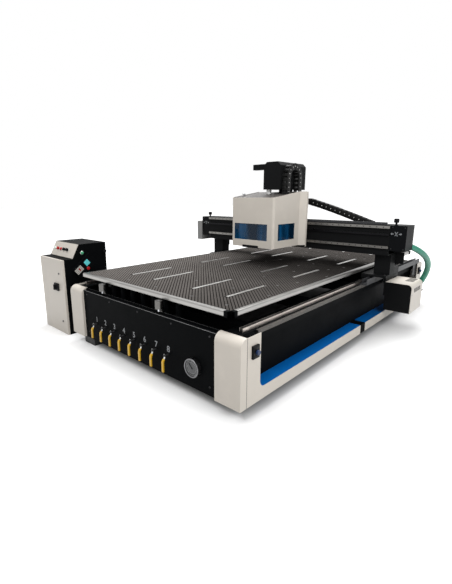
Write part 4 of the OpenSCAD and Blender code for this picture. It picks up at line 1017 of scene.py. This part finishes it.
def links(work, route, place, width, height, pitch):
    """route has (a, b) points, place(a, b) is the point in the middle of the chain there, and
    width is a vector across the chain."""
    lengths = [0.0]
    for (a0, b0), (a1, b1) in zip(route, route[1:]):
        lengths.append(lengths[-1] + math.hypot(a1 - a0, b1 - b0))

    def at(s):
        for k in range(len(route) - 1):
            if s <= lengths[k + 1] or k == len(route) - 2:
                t = (s - lengths[k]) / (lengths[k + 1] - lengths[k])
                return place(*(route[k][i] + t * (route[k + 1][i] - route[k][i]) for i in (0, 1)))

    count = max(1, round(lengths[-1] / pitch))
    step = lengths[-1] / count
    reach = step * 0.5
    side = width.normalized()
    half = width.length / 2
    plate, bar, overlap, inset = 5, 3.4, 3, 1.4
    pin_outline = [(5.2, -0.4), (5.2, 0.5), (3.6, 0.9), (0, 0.9)]
    for k in range(count):
        run = (at((k + 1) * step) - at(k * step)).normalized()
        up = side.cross(run) * -1
        turn = Matrix.Translation(at((k + 0.5) * step)) @ Matrix((
            (run.x, side.x, up.x, 0), (run.y, side.y, up.y, 0), (run.z, side.z, up.z, 0), (0, 0, 0, 1)))
        for s in (-1, 1):
            face = s * (half - k % 2 * inset)
            low, high = sorted((face, face - s * plate))
            block(work, (-reach - overlap, low, -height / 2), (reach + overlap, high, height / 2), 2.2, 2,
                  0, turn)
            lathe(work, turn @ Vector((reach - 4, face, 0)), side * s, pin_outline, 12, 1)
        for low in (-height / 2, height / 2 - bar):
            block(work, (-reach * 0.55, -half + 4, low), (reach * 0.55, half - 4, low + bar), 1, 1, 0, turn)


def chain(name, body, route, place, width, height, pitch, instead=()):
    def run_of_links(work):
        links(work, route, place, Vector(width), height, pitch)

    return shape(name, body, [chain_black, pin_white], run_of_links, instead)


def on_x_chain(x, z):
    return Vector((x, 2223, z))


def on_z_chain(y, z):
    return Vector((170, y, z))


carriage_end, carriage_top = 160, 1270.5
bend_x, bend_z, bend_r = 826, 1020, 42
lower_z = bend_z - bend_r
hang = carriage_top - (bend_z + bend_r)
sag = []
for k in range(25):
    t = k / 24
    sag.append((carriage_end + (bend_x - carriage_end) * t, carriage_top - hang * (0.86 * t + 0.14 * t * t)))
roll = [(bend_x + bend_r * math.sin(math.pi * k / 16), bend_z + bend_r * math.cos(math.pi * k / 16))
        for k in range(17)]
upper_run = chain("x_chain_upper", None, sag, on_x_chain, (0, 60, 0), 64, 52, ("x_chain_run",))
run_over = 80
spot(160 - run_over, 2223, 1166)
spot(826 + run_over, 2223, 1166)
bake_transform(upper_run)
chain("x_chain_end", "carriage", sag[:3], on_x_chain, (0, 62, 0), 66, 56)
chain("x_chain_roll", "x_bend", roll, on_x_chain, (0, 60, 0), 62, 26, ("x_chain_bend",))
chain("x_chain_lower", "gantry", [(514, lower_z), (-90, lower_z)], on_x_chain, (0, 60, 0), 64, 52)
chain("x_chain_follow", "x_bend", [(bend_x, lower_z), (140, lower_z)], on_x_chain, (0, 59, 0), 63, 52)

loop_y, loop_z, loop_r = 1818, 1505, 106
slide_end, drop = 1243, 135
z_route = [(loop_y - loop_r, slide_end + (loop_z - slide_end) * k / 8) for k in range(9)]
for k in range(1, 25):
    angle = math.pi * k / 24
    z_route.append((loop_y - loop_r * math.cos(angle), loop_z + loop_r * math.sin(angle)))
z_route += [(loop_y + loop_r, loop_z - drop * k / 8) for k in range(1, 9)]
lift_chain = chain("z_chain_links", None, z_route, on_z_chain, (60, 0, 0), 61, 42, ("z_chain",))
spot(170, 1904, 1400)
spot(170, 1732, 1400)
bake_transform(lift_chain)


# The hood windows are blue tinted acrylic sheets, screwed on from inside the hood. Darker and
# paler bands painted into the tint stand in for the shade and light of what stands behind them.
tint = Finish("tinted_acrylic", (0.004, 0.050, 0.125), 0.06, Alpha=0.86, Specular_IOR_Level=0.2)
# Painted darker and paler bands, for the shade and light behind the window.
tint.tone(tint.ramp(tint.noise(1.0, 2.0, (9.0, 9.0, 1.2)), 0.40, 0.62), 0.25, 1.35)
tint.put("Roughness", tint.noise(3.0, 2.0) * 0.05 + 0.04)
dress(tint, "head_windows")


# The sloped lid of the hood is grey-brown coated sheet between the pale walls, with a lifting
# knob at its left, and a dark rubber strip closes the chip notch in the front wall.
# The lid widens behind the flare of the walls, and the inside of the hood below it is painted
# dark as shade.
hood_coat = cream_sheet("hood_coat")
hood_x, hood_y, hood_z = (hood_coat.axis(letter) for letter in "XYZ")
flare_start = spot(0, 1852, 0).y
lid_half = (hood_y - flare_start).math("MAXIMUM", 0.0) + 0.2502
from_middle = (hood_x - spot(-9, 0, 0).x).math("ABSOLUTE")
lid_front = (from_middle > 0.226) * 0.0275 + spot(0, 1402.5, 0).y
within_walls = (from_middle < lid_half + 0.0018) * (hood_y > lid_front)
# Below the lid, the inside of the hood is painted dark as shade.
lid_and_inside_shade = hood_coat.blend(hood_z > 1.298, (0.018, 0.018, 0.019, 1.0), (0.060, 0.054, 0.050, 1.0))
hood_coat.over(within_walls, lid_and_inside_shade)
dress(hood_coat, "head_cover")


def lid_knob(work):
    outline = [(12, 0), (12, 3), (7, 5), (7, 9), (15, 11), (17, 15), (15, 21), (8, 24), (0, 24)]
    lathe(work, (-236, 1555, 1328), upward, outline, 32)


def notch_strip(work):
    block(work, (-127, 1404.4, 827), (79, 1409, 858), 1, 1)


shape("lid_knob", "carriage", zinc, lid_knob)
shape("notch_strip", "carriage", black_plastic, notch_strip)


# The edges of the carriage plate are coated like the hood, and its shelf, blocks and motor are
# dark. The slide and spindle behind the windows are bare aluminium and steel.
plate_coat = cream_sheet("plate_coat")
plate_y = plate_coat.axis("Y")
on_plate = (plate_y > spot(0, 1902.4, 0).y) * (plate_y < spot(0, 1927.4, 0).y)
plate_coat.over(1.0 - on_plate, (0.010, 0.010, 0.011, 1.0))
dress(plate_coat, "x_carriage")
spindle_metal = drawn_metal("spindle_metal", 2, (0.30, 0.30, 0.31), 0.34)
dress(spindle_metal, "z_slide")


# The counterbalance cylinder between deck and housing is drawn tube, painted pale as its bright
# reflection, and widens into a collar where it meets the housing.
def balance_tube(work):
    outline = [(24.4, 0), (24.6, 2), (24.6, 36), (25.2, 38), (26, 39), (26, 49.6)]
    lathe(work, (-26, 1700, 1340), upward, outline, 48)


tube_metal = drawn_metal("tube_metal", 2, (0.75, 0.75, 0.74), 0.4)
# Its pale colour and low metalness are a painted reflection; bare metal here mirrors the dark housing.
tube_metal.put("Metallic", 0.3)
shape("balance_tube", "carriage", tube_metal, balance_tube)


# The machine stands on a plain white floor in a white surround, under three large soft lamps.
# The floor glows only as the background that is seen, and not under or close beside the
# machine, where its shadow lies. There its colour is also painted dark, a painted shadow that
# fades out just past the machine's sides and ends.
floor_data = bpy.data.meshes.new("floor")
floor_work = bmesh.new()
bmesh.ops.create_grid(floor_work, x_segments=1, y_segments=1, size=40.0)
floor_work.to_mesh(floor_data)
floor_work.free()
floor = bpy.data.objects.new("floor", floor_data)
scene.collection.objects.link(floor)


def seen_ray(nodes):
    ray = nodes.node("LightPath", {})
    return ray.math("MAXIMUM", ray.of("Is Glossy Ray")).math("MAXIMUM", ray.of("Is Transmission Ray"))


floor_finish = Finish("studio_floor", (0.90, 0.90, 0.90), 0.9)
floor_seen = seen_ray(floor_finish)
floor_x, floor_y = (floor_finish.axis(letter) for letter in "XY")
beside = (floor_x.math("ABSOLUTE") * 0.9).math("MAXIMUM", floor_y.math("ABSOLUTE") * 0.72)
clear = floor_finish.ramp(beside, 1.0, 2.6)
past_end = floor_finish.ramp((floor_y - 0.115).math("ABSOLUTE"), 1.665, 1.83)
past_side = floor_finish.ramp((floor_x - 0.19).math("ABSOLUTE"), 0.80, 0.99)
outside = (past_side * past_side).math("MAXIMUM", past_end * past_end)
lit_floor = floor_finish.blend(floor_seen, (0.42, 0.42, 0.42, 1.0), floor_finish.shade(1.0))
# Inside the machine's footprint the floor is painted dark, a painted shadow.
floor_finish.put("Base Color", floor_finish.blend(outside, (0.05, 0.05, 0.05, 1.0), lit_floor))
glow = floor_finish.blend(floor_seen * clear * outside, (0.0, 0.0, 0.0, 1.0), (0.80, 0.80, 0.80, 1.0))
floor_finish.put("Emission Color", glow)
floor_finish.put("Emission Strength", 1.0)
floor_data.materials.append(floor_finish.material)

scene.world = bpy.data.worlds.new("surround")
scene.world.use_nodes = True
sky = Nodes(scene.world.node_tree, "Background")
sky.put("Color", (1.0, 1.0, 1.0, 1.0))
sky.put("Strength", sky.node("MapRange", {"clamp": True}, seen_ray(sky), 0.0, 1.0, 0.45, 1.0))


def soft_lamp(name, where, toward, width, height, watts):
    lamp = bpy.data.lights.new(name, "AREA")
    lamp.shape = "RECTANGLE"
    lamp.size = width
    lamp.size_y = height
    lamp.energy = watts
    stand = bpy.data.objects.new(name, lamp)
    stand.location = where
    stand.rotation_euler = (Vector(toward) - Vector(where)).to_track_quat("-Z", "Y").to_euler()
    scene.collection.objects.link(stand)


soft_lamp("front_lamp", (0.2, -4.6, 5.2), (0.0, -0.5, 0.7), 4.0, 3.0, 120)
soft_lamp("right_lamp", (5.8, -3.0, 3.4), (0.4, -0.3, 0.6), 4.0, 3.0, 205)
soft_lamp("top_lamp", (-0.5, 1.0, 5.5), (-0.2, 0.0, 0.6), 5.0, 5.0, 400)

scene.view_settings.view_transform = "Standard"
bpy.context.view_layer.update()
